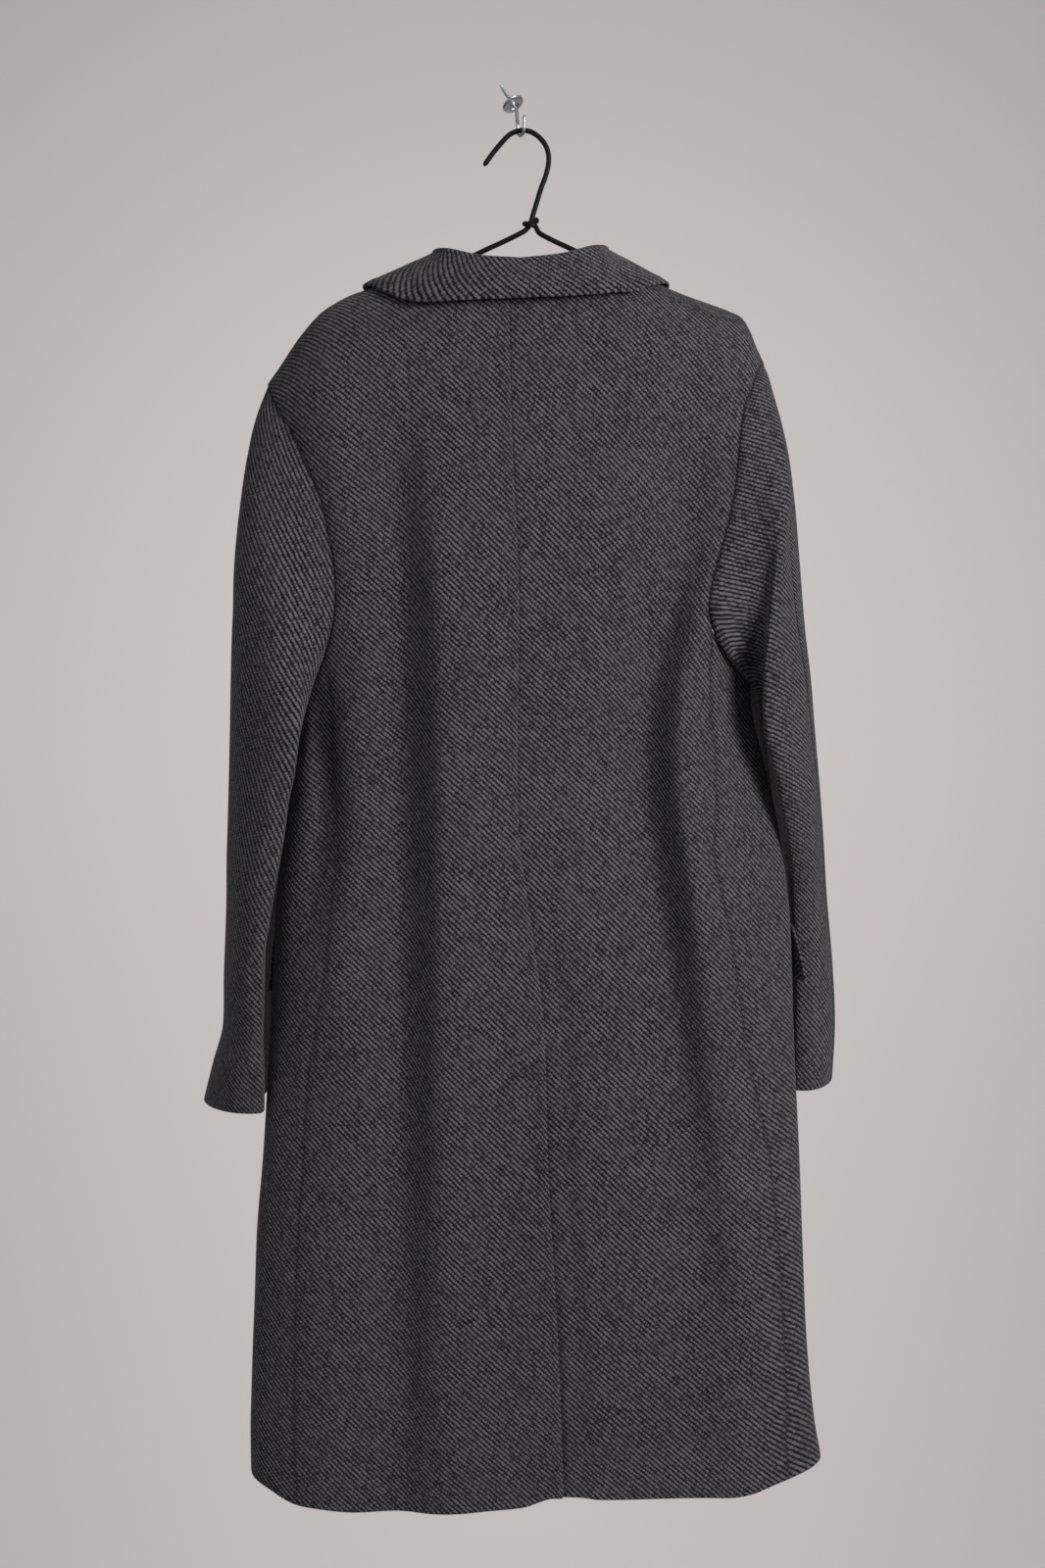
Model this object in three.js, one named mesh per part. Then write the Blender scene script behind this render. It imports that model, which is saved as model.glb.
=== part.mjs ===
// A long wool overcoat that hangs on a wire hanger from a screw hook in a sloping ceiling.
// Millimetres, +Z up. The back of the coat faces -Y, the wearer's left is at -X.
// The origin is the middle of the back face of the hook's flange, on the ceiling.
//
// The body of the coat is one shell, shell(phi, s): phi goes round it in degrees (0 is the centre
// back, 90 the right side, 180 the centre front, negative on the wearer's left) and s is the
// distance from the shoulder's ridge, down the cloth. A negative s lies over the ridge, on the far
// side of phi. Every panel is a patch of that shell between four edges.
import * as THREE from 'three';

// ------------------------------------------------------------------ driving sizes
const CLOTH = 2.6;              // the wool cloth's thickness
const SEAM_GAP = 0.3;           // between the edges of two pieces that are sewn together
const LAID_GAP = 0.35;          // between a panel and a piece that lies on it
const PLANE_Y = -15;            // the plane of the hanger
const SHOULDER_MID_X = 3.5;     // the shell's middle at shoulder height
const SHOULDER_HALF = 248.5;    // its half width there
const SHOULDER_ROUND = 60;      // height over which the shoulder rounds over into back and front
const SQUARENESS = 2.6;         // exponent of the body's cross-section (2 is an ellipse)
const YOKE_THIN = 0.6;          // share of the full depth at the ridge of the shoulder
const YOKE_DEEP = 170;          // distance below the ridge where the full depth is reached
const NECK_X = 7;               // middle of the neck
const FRONT_LAP = 35;           // each front passes the centre front by this
const BUTTON_RADIUS = 14;
const VENT_TOP_Z = -815;
const VENT_LAP = 42;
const VENT_CLEARANCE = 1.2;     // between the vent's two laps
const HANGER_WIRE = 2.3;        // wire radius, with its coating
const HOOK_WIRE = 1.6;          // wire radius
const FLANGE_RADIUS = 10.2;

const WOOL = { color: 0x3b3a3d, roughness: 0.95, metalness: 0 };
const HORN = { color: 0x2a2624, roughness: 0.45, metalness: 0 };
const COATED = { color: 0x0c0c0d, roughness: 0.35, metalness: 0 };
const ZINC = { color: 0xb9bec4, roughness: 0.35, metalness: 0.9 };

// ------------------------------------------------------------------ tables
function columns(names, rows) {
  const table = {};
  names.split(' ').forEach((name, i) => { table[name] = rows.map((row) => row[i]); });
  return table;
}

// A smooth curve through keyed values, flat outside them.
function through(keys, values) {
  const up = keys[keys.length - 1] > keys[0];
  const k = up ? keys : [...keys].reverse();
  const v = up ? values : [...values].reverse();
  const last = k.length - 1;
  const slope = k.map((_, i) => {
    const a = Math.max(i - 1, 0);
    const b = Math.min(i + 1, last);
    return (v[b] - v[a]) / (k[b] - k[a]);
  });
  return (x) => {
    if (x <= k[0]) return v[0];
    if (x >= k[last]) return v[last];
    let i = 0;
    while (k[i + 1] < x) i += 1;
    const w = k[i + 1] - k[i];
    const t = (x - k[i]) / w;
    const a = (1 + 2 * t) * (1 - t) ** 2 * v[i] + t * (1 - t) ** 2 * w * slope[i];
    const b = t * t * (3 - 2 * t) * v[i + 1] + t * t * (t - 1) * w * slope[i + 1];
    return a + b;
  };
}

// Level by level: the body's two sides, and its depth behind and in front of the hanger's plane.
const BODY = columns('z left right back front', [
  [-260, -245, 252, 69, 66],
  [-350, -224, 238, 73, 75],
  [-450, -203, 216, 75, 79],
  [-535, -192, 215, 75, 81],
  [-600, -199, 231, 75, 82],
  [-660, -209, 244, 75, 82],
  [-733, -217, 253, 74, 81],
  [-820, -222, 257, 73, 80],
  [-925, -228, 262, 72, 79],
  [-1027, -237, 267, 72, 78],
  [-1110, -241, 271, 71, 76],
  [-1200, -245, 280, 70, 75],
  [-1245, -245, 288, 69, 74],
]);
const leftSide = through(BODY.z, BODY.left);
const rightSide = through(BODY.z, BODY.right);
const backDepth = through(BODY.z, BODY.back);
const frontDepth = through(BODY.z, BODY.front);
const middle = (z) => (leftSide(z) + rightSide(z)) / 2;
const half = (z) => (rightSide(z) - leftSide(z)) / 2;

// The ridge of the shoulders, seen from behind, and the hem.
const RIDGE = columns('x z', [
  [-245, -275], [-233, -266], [-225, -256], [-219, -248], [-209, -234], [-195, -213], [-184, -199],
  [-171, -185.5], [-158, -177], [-144, -170], [-120, -162], [-95, -153], [-73, -145.5], [-40, -138],
  [7, -135], [55, -134.5], [87, -138.5], [110, -150], [134, -162.5], [156, -171.5], [176, -178.5],
  [195, -185.5], [205, -191], [212, -202], [218, -216], [224, -228], [230, -241], [236, -253],
  [243, -265], [252, -275],
]);
const HEM = columns('x z', [
  [-245, -1244], [-224, -1248], [-208, -1253], [-192, -1256], [-140, -1261], [-89, -1260], [-37, -1260],
  [9, -1258.5], [35, -1251.5], [92, -1252], [152, -1252], [195, -1251], [220, -1248], [239, -1243],
  [264, -1237], [288, -1233],
]);
const ridge = through(RIDGE.x, RIDGE.z);
const hem = through(HEM.x, HEM.z);

// The folds of the hanging cloth: at each level where the fold's middle is, how far it stands out
// (a trough is negative) and how wide its two flanks are.
const FOLDS = [
  { name: 'left side roll', face: -1, ...columns('z x out left right', [
    [-230, -178, 2, 30, 30], [-300, -166, 6, 34, 28], [-430, -139, 6, 34, 28], [-590, -128, 6, 26, 24],
    [-710, -132, 6, 30, 26], [-780, -156, 4, 34, 36], [-900, -170, 1, 36, 36]]) },
  { name: 'left trough', face: -1, ...columns('z x out left right', [
    [-240, -106, 0, 30, 26], [-346, -103, -7, 34, 24], [-450, -99, -12, 36, 22], [-657, -98, -13, 36, 22],
    [-870, -97, -12, 38, 24], [-1120, -98, -9, 40, 26], [-1262, -100, -6, 42, 28]]) },
  { name: 'left of centre roll', face: -1, ...columns('z x out left right', [
    [-260, -72, 0, 22, 40], [-346, -68, 7, 22, 46], [-450, -64, 11, 20, 50], [-657, -62, 13, 19, 54],
    [-870, -66, 12, 21, 54], [-1120, -72, 9, 23, 54], [-1262, -76, 6, 26, 54]]) },
  { name: 'right trough', face: -1, ...columns('z x out left right', [
    [-230, 160, 0, 40, 24], [-300, 152, -5, 46, 24], [-431, 141, -9, 48, 20], [-505, 124, -12, 50, 19],
    [-595, 118, -13, 50, 18], [-685, 129, -12, 50, 19], [-775, 141, -10, 50, 20], [-883, 152, -8, 50, 22],
    [-1000, 165, -6, 50, 24], [-1120, 174, -4, 50, 26]]) },
  { name: 'right roll', face: -1, ...columns('z x out left right', [
    [-262, 205, 3, 22, 26], [-363, 192, 9, 22, 28], [-431, 174, 14, 19, 30], [-505, 153, 18, 18, 34],
    [-595, 148, 19, 18, 36], [-685, 159, 18, 18, 36], [-775, 171, 15, 20, 36], [-883, 183, 12, 22, 36],
    [-1000, 196, 8, 26, 36], [-1120, 205, 5, 30, 36]]) },
  { name: 'left underarm hollow', face: -1, ...columns('z x out left right', [
    [-500, -172, 0, 12, 16], [-556, -170, -14, 12, 15], [-640, -168, -16, 14, 16], [-710, -178, -8, 16, 18],
    [-780, -190, 0, 18, 20]]) },
  { name: 'right underarm hollow', face: -1, ...columns('z x out left right', [
    [-440, 196, 0, 12, 14], [-475, 200, -10, 14, 16], [-520, 207, -12, 14, 18], [-580, 214, -6, 16, 20],
    [-640, 222, 0, 18, 20]]) },
  { name: 'left front roll', face: 1, ...columns('z x out left right', [
    [-420, -100, 0, 40, 34], [-560, -92, 7, 40, 34], [-900, -96, 8, 42, 36], [-1240, -102, 9, 46, 38]]) },
  { name: 'right front roll', face: 1, ...columns('z x out left right', [
    [-420, 132, 0, 34, 40], [-560, 124, 7, 34, 40], [-900, 128, 8, 36, 42], [-1240, 136, 10, 38, 46]]) },
  { name: 'right front trough', face: 1, ...columns('z x out left right', [
    [-520, 80, 0, 26, 26], [-760, 78, -6, 26, 26], [-1240, 84, -7, 30, 30]]) },
].map((fold) => ({
  face: fold.face,
  x: through(fold.z, fold.x),
  out: through(fold.z, fold.out),
  left: through(fold.z, fold.left),
  right: through(fold.z, fold.right),
}));

function foldOut(x, z, depth) {
  let out = 0;
  for (const fold of FOLDS) {
    if (fold.face * depth <= 0) continue;
    const dx = x - fold.x(z);
    const width = dx < 0 ? fold.left(z) : fold.right(z);
    out += fold.out(z) * Math.exp(-((dx / width) ** 2));
  }
  return out * depth;
}

// ------------------------------------------------------------------ the shell
const rad = THREE.MathUtils.degToRad;
const smooth = (t) => THREE.MathUtils.smoothstep(t, 0, 1);
const mix = THREE.MathUtils.lerp;

function section(phi) {
  const sin = Math.sin(rad(phi));
  const cos = Math.cos(rad(phi));
  const r = (Math.abs(sin) ** SQUARENESS + Math.abs(cos) ** SQUARENESS) ** (-1 / SQUARENESS);
  return { across: r * sin, deep: -r * cos };
}

function shell(phi, s) {
  const { across, deep } = section(phi);
  const run = Math.abs(s);
  const angle = Math.min(run / SHOULDER_ROUND, Math.PI / 2);
  const drop = SHOULDER_ROUND * (1 - Math.cos(angle)) + Math.max(run - SHOULDER_ROUND * Math.PI / 2, 0);
  const z = ridge(SHOULDER_MID_X + SHOULDER_HALF * across) - drop;
  const x = middle(z) + half(z) * across;
  const depth = deep * Math.sin(angle) * Math.sign(s);
  const full = depth > 0 ? frontDepth(z) : backDepth(z);
  const yoke = mix(YOKE_THIN, 1, smooth(run / YOKE_DEEP));
  return new THREE.Vector3(x, PLANE_Y + depth * full * yoke + foldOut(x, z, depth), z);
}

function shellNormal(phi, s) {
  const dPhi = shell(phi + 0.3, s).sub(shell(phi - 0.3, s));
  const dS = shell(phi, s + 0.6).sub(shell(phi, s - 0.6));
  return dS.cross(dPhi).normalize();
}

// Where a point of the back (face -1) or the front (face 1) lies on the shell.
function locate(x, z, face) {
  const across = THREE.MathUtils.clamp((x - middle(z)) / half(z), -1, 1);
  const power = Math.abs(across) ** SQUARENESS;
  const turn = power >= 1 ? 90 : THREE.MathUtils.radToDeg(Math.atan((power / (1 - power)) ** (1 / SQUARENESS)));
  const phi = (across < 0 ? -1 : 1) * (face < 0 ? turn : 180 - turn);
  const drop = Math.max(ridge(SHOULDER_MID_X + SHOULDER_HALF * across) - z, 0);
  const s = drop < SHOULDER_ROUND
    ? SHOULDER_ROUND * Math.acos(1 - drop / SHOULDER_ROUND)
    : drop - SHOULDER_ROUND + SHOULDER_ROUND * Math.PI / 2;
  return { phi, s };
}

// Moves a point out until it is this far off the shell; near is a guess of the shell point under it.
function clearOf(point, near, distance) {
  const at = { ...near };
  for (let i = 0; i < 12; i += 1) {
    const off = point.clone().sub(shell(at.phi, at.s));
    const dPhi = shell(at.phi + 0.5, at.s).sub(shell(at.phi - 0.5, at.s));
    const dS = shell(at.phi, at.s + 0.5).sub(shell(at.phi, at.s - 0.5));
    const a = dPhi.dot(dPhi);
    const b = dPhi.dot(dS);
    const c = dS.dot(dS);
    const det = a * c - b * b;
    at.phi += THREE.MathUtils.clamp((c * off.dot(dPhi) - b * off.dot(dS)) / det, -4, 4);
    at.s += THREE.MathUtils.clamp((a * off.dot(dS) - b * off.dot(dPhi)) / det, -12, 12);
  }
  const normal = shellNormal(at.phi, at.s);
  const gap = point.clone().sub(shell(at.phi, at.s)).dot(normal);
  return point.clone().addScaledVector(normal, Math.max(distance - gap, 0));
}

// An edge is a smooth curve through points of the shell, t from 0 to 1 along it. Its samples crowd
// toward one end: crowd > 0 the start, crowd < 0 the end.
const MM_PER_DEGREE = 3.2;
function edge(points, { runWeight = 1, crowd = 0 } = {}) {
  const along = [0];
  for (let i = 1; i < points.length; i += 1) {
    const dPhi = (points[i].phi - points[i - 1].phi) * MM_PER_DEGREE;
    along.push(along[i - 1] + Math.hypot(dPhi, (points[i].s - points[i - 1].s) * runWeight));
  }
  const keys = along.map((d) => d / along[along.length - 1]);
  const phi = through(keys, points.map((p) => p.phi));
  const s = through(keys, points.map((p) => p.s));
  const power = 1 + Math.abs(crowd);
  const warp = (t) => (crowd < 0 ? 1 - (1 - t) ** power : t ** power);
  return (t) => ({ phi: phi(warp(t)), s: s(warp(t)) });
}
const fromTable = (table, face) => table.x.map((x, i) => locate(x, table.z[i], face));
const steps = (curve, count) => Array.from({ length: count + 1 }, (_, i) => curve(i / count));
const joined = (first, ...rest) => rest.reduce((all, part) => all.concat(part.slice(1)), first);

// ------------------------------------------------------------------ seam lines
const SIDES = { left: -1, right: 1 };

const CENTRE_BACK = columns('x z', [
  [-3, -178], [0, -300], [6, -431], [6, -637], [19, -741], [28, -820], [32, -953], [41, -1114], [46, -1257],
]);
const centreBack = through(CENTRE_BACK.z, CENTRE_BACK.x);

// The shoulder seam, from the neck to the shoulder point: how far behind the ridge it runs.
const SHOULDER = {
  left: columns('x behind', [[-75, 10], [-120, 9], [-170, 8], [-205, 8], [-220, 7]]),
  right: columns('x behind', [[89, 20], [120, 32], [156, 38], [190, 36], [212, 20], [226, 8]]),
};
// The back neck, from the centre to the shoulder seam.
const BACK_NECK = {
  left: columns('x z', [[-3, -178], [-26, -177], [-48, -172], [-64, -161]]),
  right: columns('x z', [[-3, -178], [20, -177], [48, -172.5], [70, -164]]),
};
const ARMHOLE_BACK = {
  left: columns('x z', [[-206, -276], [-194, -294], [-180, -323], [-168, -353], [-157, -406], [-155, -442],
    [-158, -466], [-167, -495]]),
  right: columns('x z', [[211, -254], [203, -274], [199, -303], [194, -351], [185, -389], [177, -418],
    [172, -449], [176, -470]]),
};
const UNDERARM_Z = { left: -535, right: -466 };
const ARMHOLE_FRONT = {
  left: columns('x z', [[-163, -500], [-151, -460], [-148, -410], [-155, -360], [-172, -312], [-198, -276]]),
  right: columns('x z', [[181, -462], [168, -425], [164, -378], [170, -332], [186, -287], [208, -253]]),
};
const BACK_SIDE_SEAM = {
  left: columns('x z', [[-167, -495], [-160, -570], [-156, -667], [-160, -693], [-170, -782], [-184, -871],
    [-194, -1006], [-199, -1143], [-198, -1266]]),
  right: columns('x z', [[176, -470], [177, -560], [177, -658], [181, -684], [195, -746], [209, -835],
    [218, -880], [233, -946], [248, -1117], [253, -1244]]),
};
const FRONT_SEAM_TURN = 114;    // where the hidden underarm seam meets the hem, degrees from the back
const HEM_LEVEL = -1250;        // where the shell's width at the hem is taken

// Front neck and the roll line of the lapel, down to the top button, then the front's edge.
const NECK_HALF = 80;
const NECK_FRONT_TOP_Z = -152;
const GORGE = { half: 60, z: -204 };
const ARMHOLE_CROWD = 0.4;      // more rows near the shoulder, where the shell is round
const ROLL_END_Z = -470;
const FRONT_LEVELS = [-600, -800, -1000, -1150];
const FRONT_END_Z = -1256;
const FRONT_DRIFT = { x: 14, over: 700 };       // how far the front edges drift to the right, and over what height

function seams(side) {
  const sign = SIDES[side];
  const shoulder = SHOULDER[side].x.map((x, i) => ({ phi: sign * turnAt(x), s: SHOULDER[side].behind[i] }));
  const overRidge = shoulder.map((p) => ({ phi: sign * 180 - p.phi, s: -p.s }));
  const neck = edge([...fromTable(BACK_NECK[side], -1), shoulder[0]], { runWeight: 0.4 });
  const shoulderSeam = edge(shoulder);
  const shoulderFront = edge(overRidge);
  const armholeBack = edge(
    [shoulder[shoulder.length - 1], ...fromTable(ARMHOLE_BACK[side], -1)],
    { crowd: ARMHOLE_CROWD },
  );
  const frontHole = fromTable(ARMHOLE_FRONT[side], 1);
  const underarm = edge([
    fromTable(BACK_SIDE_SEAM[side], -1)[0],
    { phi: sign * 90, s: ridge(sign * 400) - UNDERARM_Z[side] - SHOULDER_ROUND + SHOULDER_ROUND * Math.PI / 2 },
    frontHole[0],
  ]);
  const armholeFront = edge([...frontHole, overRidge[overRidge.length - 1]], { crowd: -ARMHOLE_CROWD });
  const backSide = edge(fromTable(BACK_SIDE_SEAM[side], -1));
  const low = hemAt(sign * FRONT_SEAM_TURN);
  const frontSide = edge([frontHole[0], { phi: mix(frontHole[0].phi, low.phi, 0.6), s: mix(frontHole[0].s, low.s, 0.5) }, low]);
  const neckFront = edge([overRidge[0], ...[0.35, 0.7, 1].map((t) => {
    const x = NECK_X + sign * mix(NECK_HALF, GORGE.half, t * t);
    return locate(x, mix(NECK_FRONT_TOP_Z, GORGE.z, t), 1);
  })], { crowd: 0.2 });
  const lap = NECK_X - sign * FRONT_LAP;
  const gorge = NECK_X + sign * GORGE.half;
  const front = edge([
    ...[0, 0.33, 0.66, 1].map((t) => locate(mix(gorge, lap, t), mix(GORGE.z, ROLL_END_Z, t), 1)),
    ...FRONT_LEVELS.map((z) => locate(frontEdge(sign, z), z, 1)),
    locate(frontEdge(sign, FRONT_END_Z), hem(frontEdge(sign, FRONT_END_Z)), 1),
  ].map((p) => ({ phi: unwrap(sign, p.phi), s: p.s })));
  return { sign, neck, shoulderSeam, shoulderFront, armholeBack, underarm, armholeFront, backSide, frontSide, neckFront, front };
}

function turnAt(x) {
  const across = Math.abs(x - SHOULDER_MID_X) / SHOULDER_HALF;
  const power = across ** SQUARENESS;
  return THREE.MathUtils.radToDeg(Math.atan((power / (1 - power)) ** (1 / SQUARENESS)));
}
function frontEdge(sign, z) {
  return NECK_X + FRONT_DRIFT.x * smooth((ROLL_END_Z - z) / FRONT_DRIFT.over) - sign * FRONT_LAP;
}
// The fronts pass the centre front, so their angle may go past 180 on their own side.
function unwrap(sign, phi) {
  return sign * phi < 0 ? phi + sign * 360 : phi;
}
function hemAt(phi) {
  const x = middle(HEM_LEVEL) + half(HEM_LEVEL) * section(phi).across;
  const top = ridge(SHOULDER_MID_X + SHOULDER_HALF * section(phi).across);
  return { phi, s: top - hem(x) - SHOULDER_ROUND + SHOULDER_ROUND * Math.PI / 2 };
}

// ------------------------------------------------------------------ solids
const model = new THREE.Group();
const seamLines = { left: seams('left'), right: seams('right') };

function addMesh(name, points, triangles, look) {
  const geometry = new THREE.BufferGeometry();
  let volume = 0;
  for (const [a, b, c] of triangles) {
    volume += points[a].dot(new THREE.Vector3().crossVectors(points[b], points[c]));
  }
  const faces = volume < 0 ? triangles.map(([a, b, c]) => [a, c, b]) : triangles;
  geometry.setAttribute('position', new THREE.Float32BufferAttribute(points.flatMap((p) => [p.x, p.y, p.z]), 3));
  geometry.setIndex(faces.flat());
  geometry.computeVertexNormals();
  const mesh = new THREE.Mesh(geometry, new THREE.MeshStandardMaterial(look));
  mesh.name = name;
  model.add(mesh);
}

// A closed wall between two grids of points, [row][column].
function addWall(name, outer, inner, look = WOOL) {
  const rows = outer.length;
  const cols = outer[0].length;
  const points = [...outer.flat(), ...inner.flat()];
  const at = (face, i, j) => face * rows * cols + i * cols + j;
  const triangles = [];
  const quad = (a, b, c, d) => triangles.push([a, b, c], [a, c, d]);
  for (let i = 0; i < rows - 1; i += 1) {
    for (let j = 0; j < cols - 1; j += 1) {
      quad(at(0, i, j), at(0, i, j + 1), at(0, i + 1, j + 1), at(0, i + 1, j));
      quad(at(1, i, j), at(1, i + 1, j), at(1, i + 1, j + 1), at(1, i, j + 1));
    }
  }
  for (let j = 0; j < cols - 1; j += 1) {
    quad(at(0, 0, j + 1), at(0, 0, j), at(1, 0, j), at(1, 0, j + 1));
    quad(at(0, rows - 1, j), at(0, rows - 1, j + 1), at(1, rows - 1, j + 1), at(1, rows - 1, j));
  }
  for (let i = 0; i < rows - 1; i += 1) {
    quad(at(0, i + 1, 0), at(1, i + 1, 0), at(1, i, 0), at(0, i, 0));
    quad(at(0, i + 1, cols - 1), at(0, i, cols - 1), at(1, i, cols - 1), at(1, i + 1, cols - 1));
  }
  addMesh(name, points, triangles, look);
}

// Draws the wall's borders back from the seams, half the gap on each side.
function drawBack(outer, inner, { top = 0, bottom = 0, first = 0, last = 0 }) {
  const rows = outer.length - 1;
  const cols = outer[0].length - 1;
  for (const grid of [outer, inner]) {
    const source = grid.map((row) => row.map((p) => p.clone()));
    const pull = (i, j, di, dj, distance) => {
      const way = source[i + di][j + dj].clone().sub(source[i][j]).normalize();
      grid[i][j].addScaledVector(way, distance);
    };
    for (let j = 0; j <= cols; j += 1) {
      if (top) pull(0, j, 1, 0, top);
      if (bottom) pull(rows, j, -1, 0, bottom);
    }
    for (let i = 0; i <= rows; i += 1) {
      if (first) pull(i, 0, 0, 1, first);
      if (last) pull(i, cols, 0, -1, last);
    }
  }
}

// The broad run of an edge, without its short turns.
function broad(values) {
  let now = values;
  for (let pass = 0; pass < 16; pass += 1) {
    now = now.map((v, i) => (i === 0 || i === now.length - 1 ? v : (now[i - 1] + 2 * v + now[i + 1]) / 4));
  }
  return now;
}

// The patch between four edges, given as lists of shell points: top and bottom, first and last column.
// The broad run of an edge is carried right across the patch, its short turns fade near the edge.
function patch(top, bottom, first, last) {
  const rows = first.length - 1;
  const cols = top.length - 1;
  const grid = first.map(() => top.map(() => ({})));
  for (const key of ['phi', 's']) {
    const edges = [first, last, top, bottom].map((list) => list.map((p) => p[key]));
    const runs = edges.map(broad);
    const across = (a, b, k, t) => mix(runs[a][k], runs[b][k], t)
      + (edges[a][k] - runs[a][k]) * (1 - t) ** 4 + (edges[b][k] - runs[b][k]) * t ** 4;
    for (let i = 0; i <= rows; i += 1) {
      for (let j = 0; j <= cols; j += 1) {
        const v = i / rows;
        const u = j / cols;
        const corners = mix(mix(edges[2][0], edges[2][cols], u), mix(edges[3][0], edges[3][cols], u), v);
        grid[i][j][key] = across(0, 1, i, u) + across(2, 3, j, v) - corners;
      }
    }
  }
  return grid;
}

// Turns a patch into a wall on the shell. shift(point) moves it out; mitre[i][j] gives the way in at an armhole.
function wallOnShell(grid, shift = () => 0, mitre = {}) {
  const outer = [];
  const inner = [];
  grid.forEach((row, i) => {
    outer.push([]);
    inner.push([]);
    row.forEach(({ phi, s }, j) => {
      const p = shell(phi, s);
      const n = shellNormal(phi, s);
      p.addScaledVector(n, shift(p));
      outer[i].push(p);
      const way = mitre[`${i},${j}`];
      inner[i].push(way ? p.clone().add(way) : p.clone().addScaledVector(n, -CLOTH));
    });
  });
  return [outer, inner];
}

const COUNT = { neck: 5, shoulder: 10, armhole: 9, underarm: 6, side: 20, frontNeck: 5 };

// ------------------------------------------------------------------ sleeves
// Level by level: the outermost point, the inner wall beside the body, the inner edge that bends
// round the body, and the middle and half of the sleeve's depth.
const SLEEVE = {
  left: columns('z outer inner edge y deep', [
    [-600, -257.5, -207, -195, -16, 84], [-660, -260, -214, -206, -12, 82], [-720, -262, -223, -217, -8, 79],
    [-780, -265.5, -228, -224, -2, 76], [-834, -269, -230, -226.5, 6, 73], [-870, -279, -232, -228, 12, 72],
    [-906, -289, -234, -230, 20, 70]]),
  right: columns('z outer inner edge y deep', [
    [-560, 275, 237, 226, -4, 84], [-608, 281, 243, 237, 8, 82], [-661, 288, 251, 248, 30, 78],
    [-720, 296, 259.5, 257.5, 60, 71], [-789, 303.5, 263.5, 262, 68, 70], [-843, 306.5, 264, 262.5, 69, 69],
    [-896, 304.5, 264.5, 263, 70, 68]]),
};
// The outermost line of the sleeve's upper part, seen from behind.
const SLEEVE_LINE = {
  left: columns('z x', [[-262, -225], [-300, -233], [-352, -240.5], [-405, -247], [-458, -250.5], [-511, -253.5], [-600, -257.5]]),
  right: columns('z x', [[-250, 231], [-300, 247.5], [-352, 255.5], [-405, 260], [-458, 264], [-511, 270], [-560, 275]]),
};
const SEAM_TURN = { left: -8, right: 26 };      // how far the outer sleeve seam lies round to the back
// The way in which the sleeve leaves the armhole: outward at the shoulder point (by side), how much more
// so at the back and front, how far it turns back there, and how far down at both.
const LEAVE = { left: 0.2, right: 0.2, spread: 0.4, turnBack: 0.1, down: 0.9, lessDown: 0.3 };
const UNDER_TURNS = [150, 210];  // the sleeve's turns that meet the underarm
const LINE_FADE = 1.5;           // how fast the shift to the sleeve's outermost line fades round it
const LONGEST_MITRE = 1.25;      // of the cloth's thickness, where sleeve and body meet at an angle
const HEAD_ROWS = 8;
const ARM_ROWS = 9;

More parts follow.
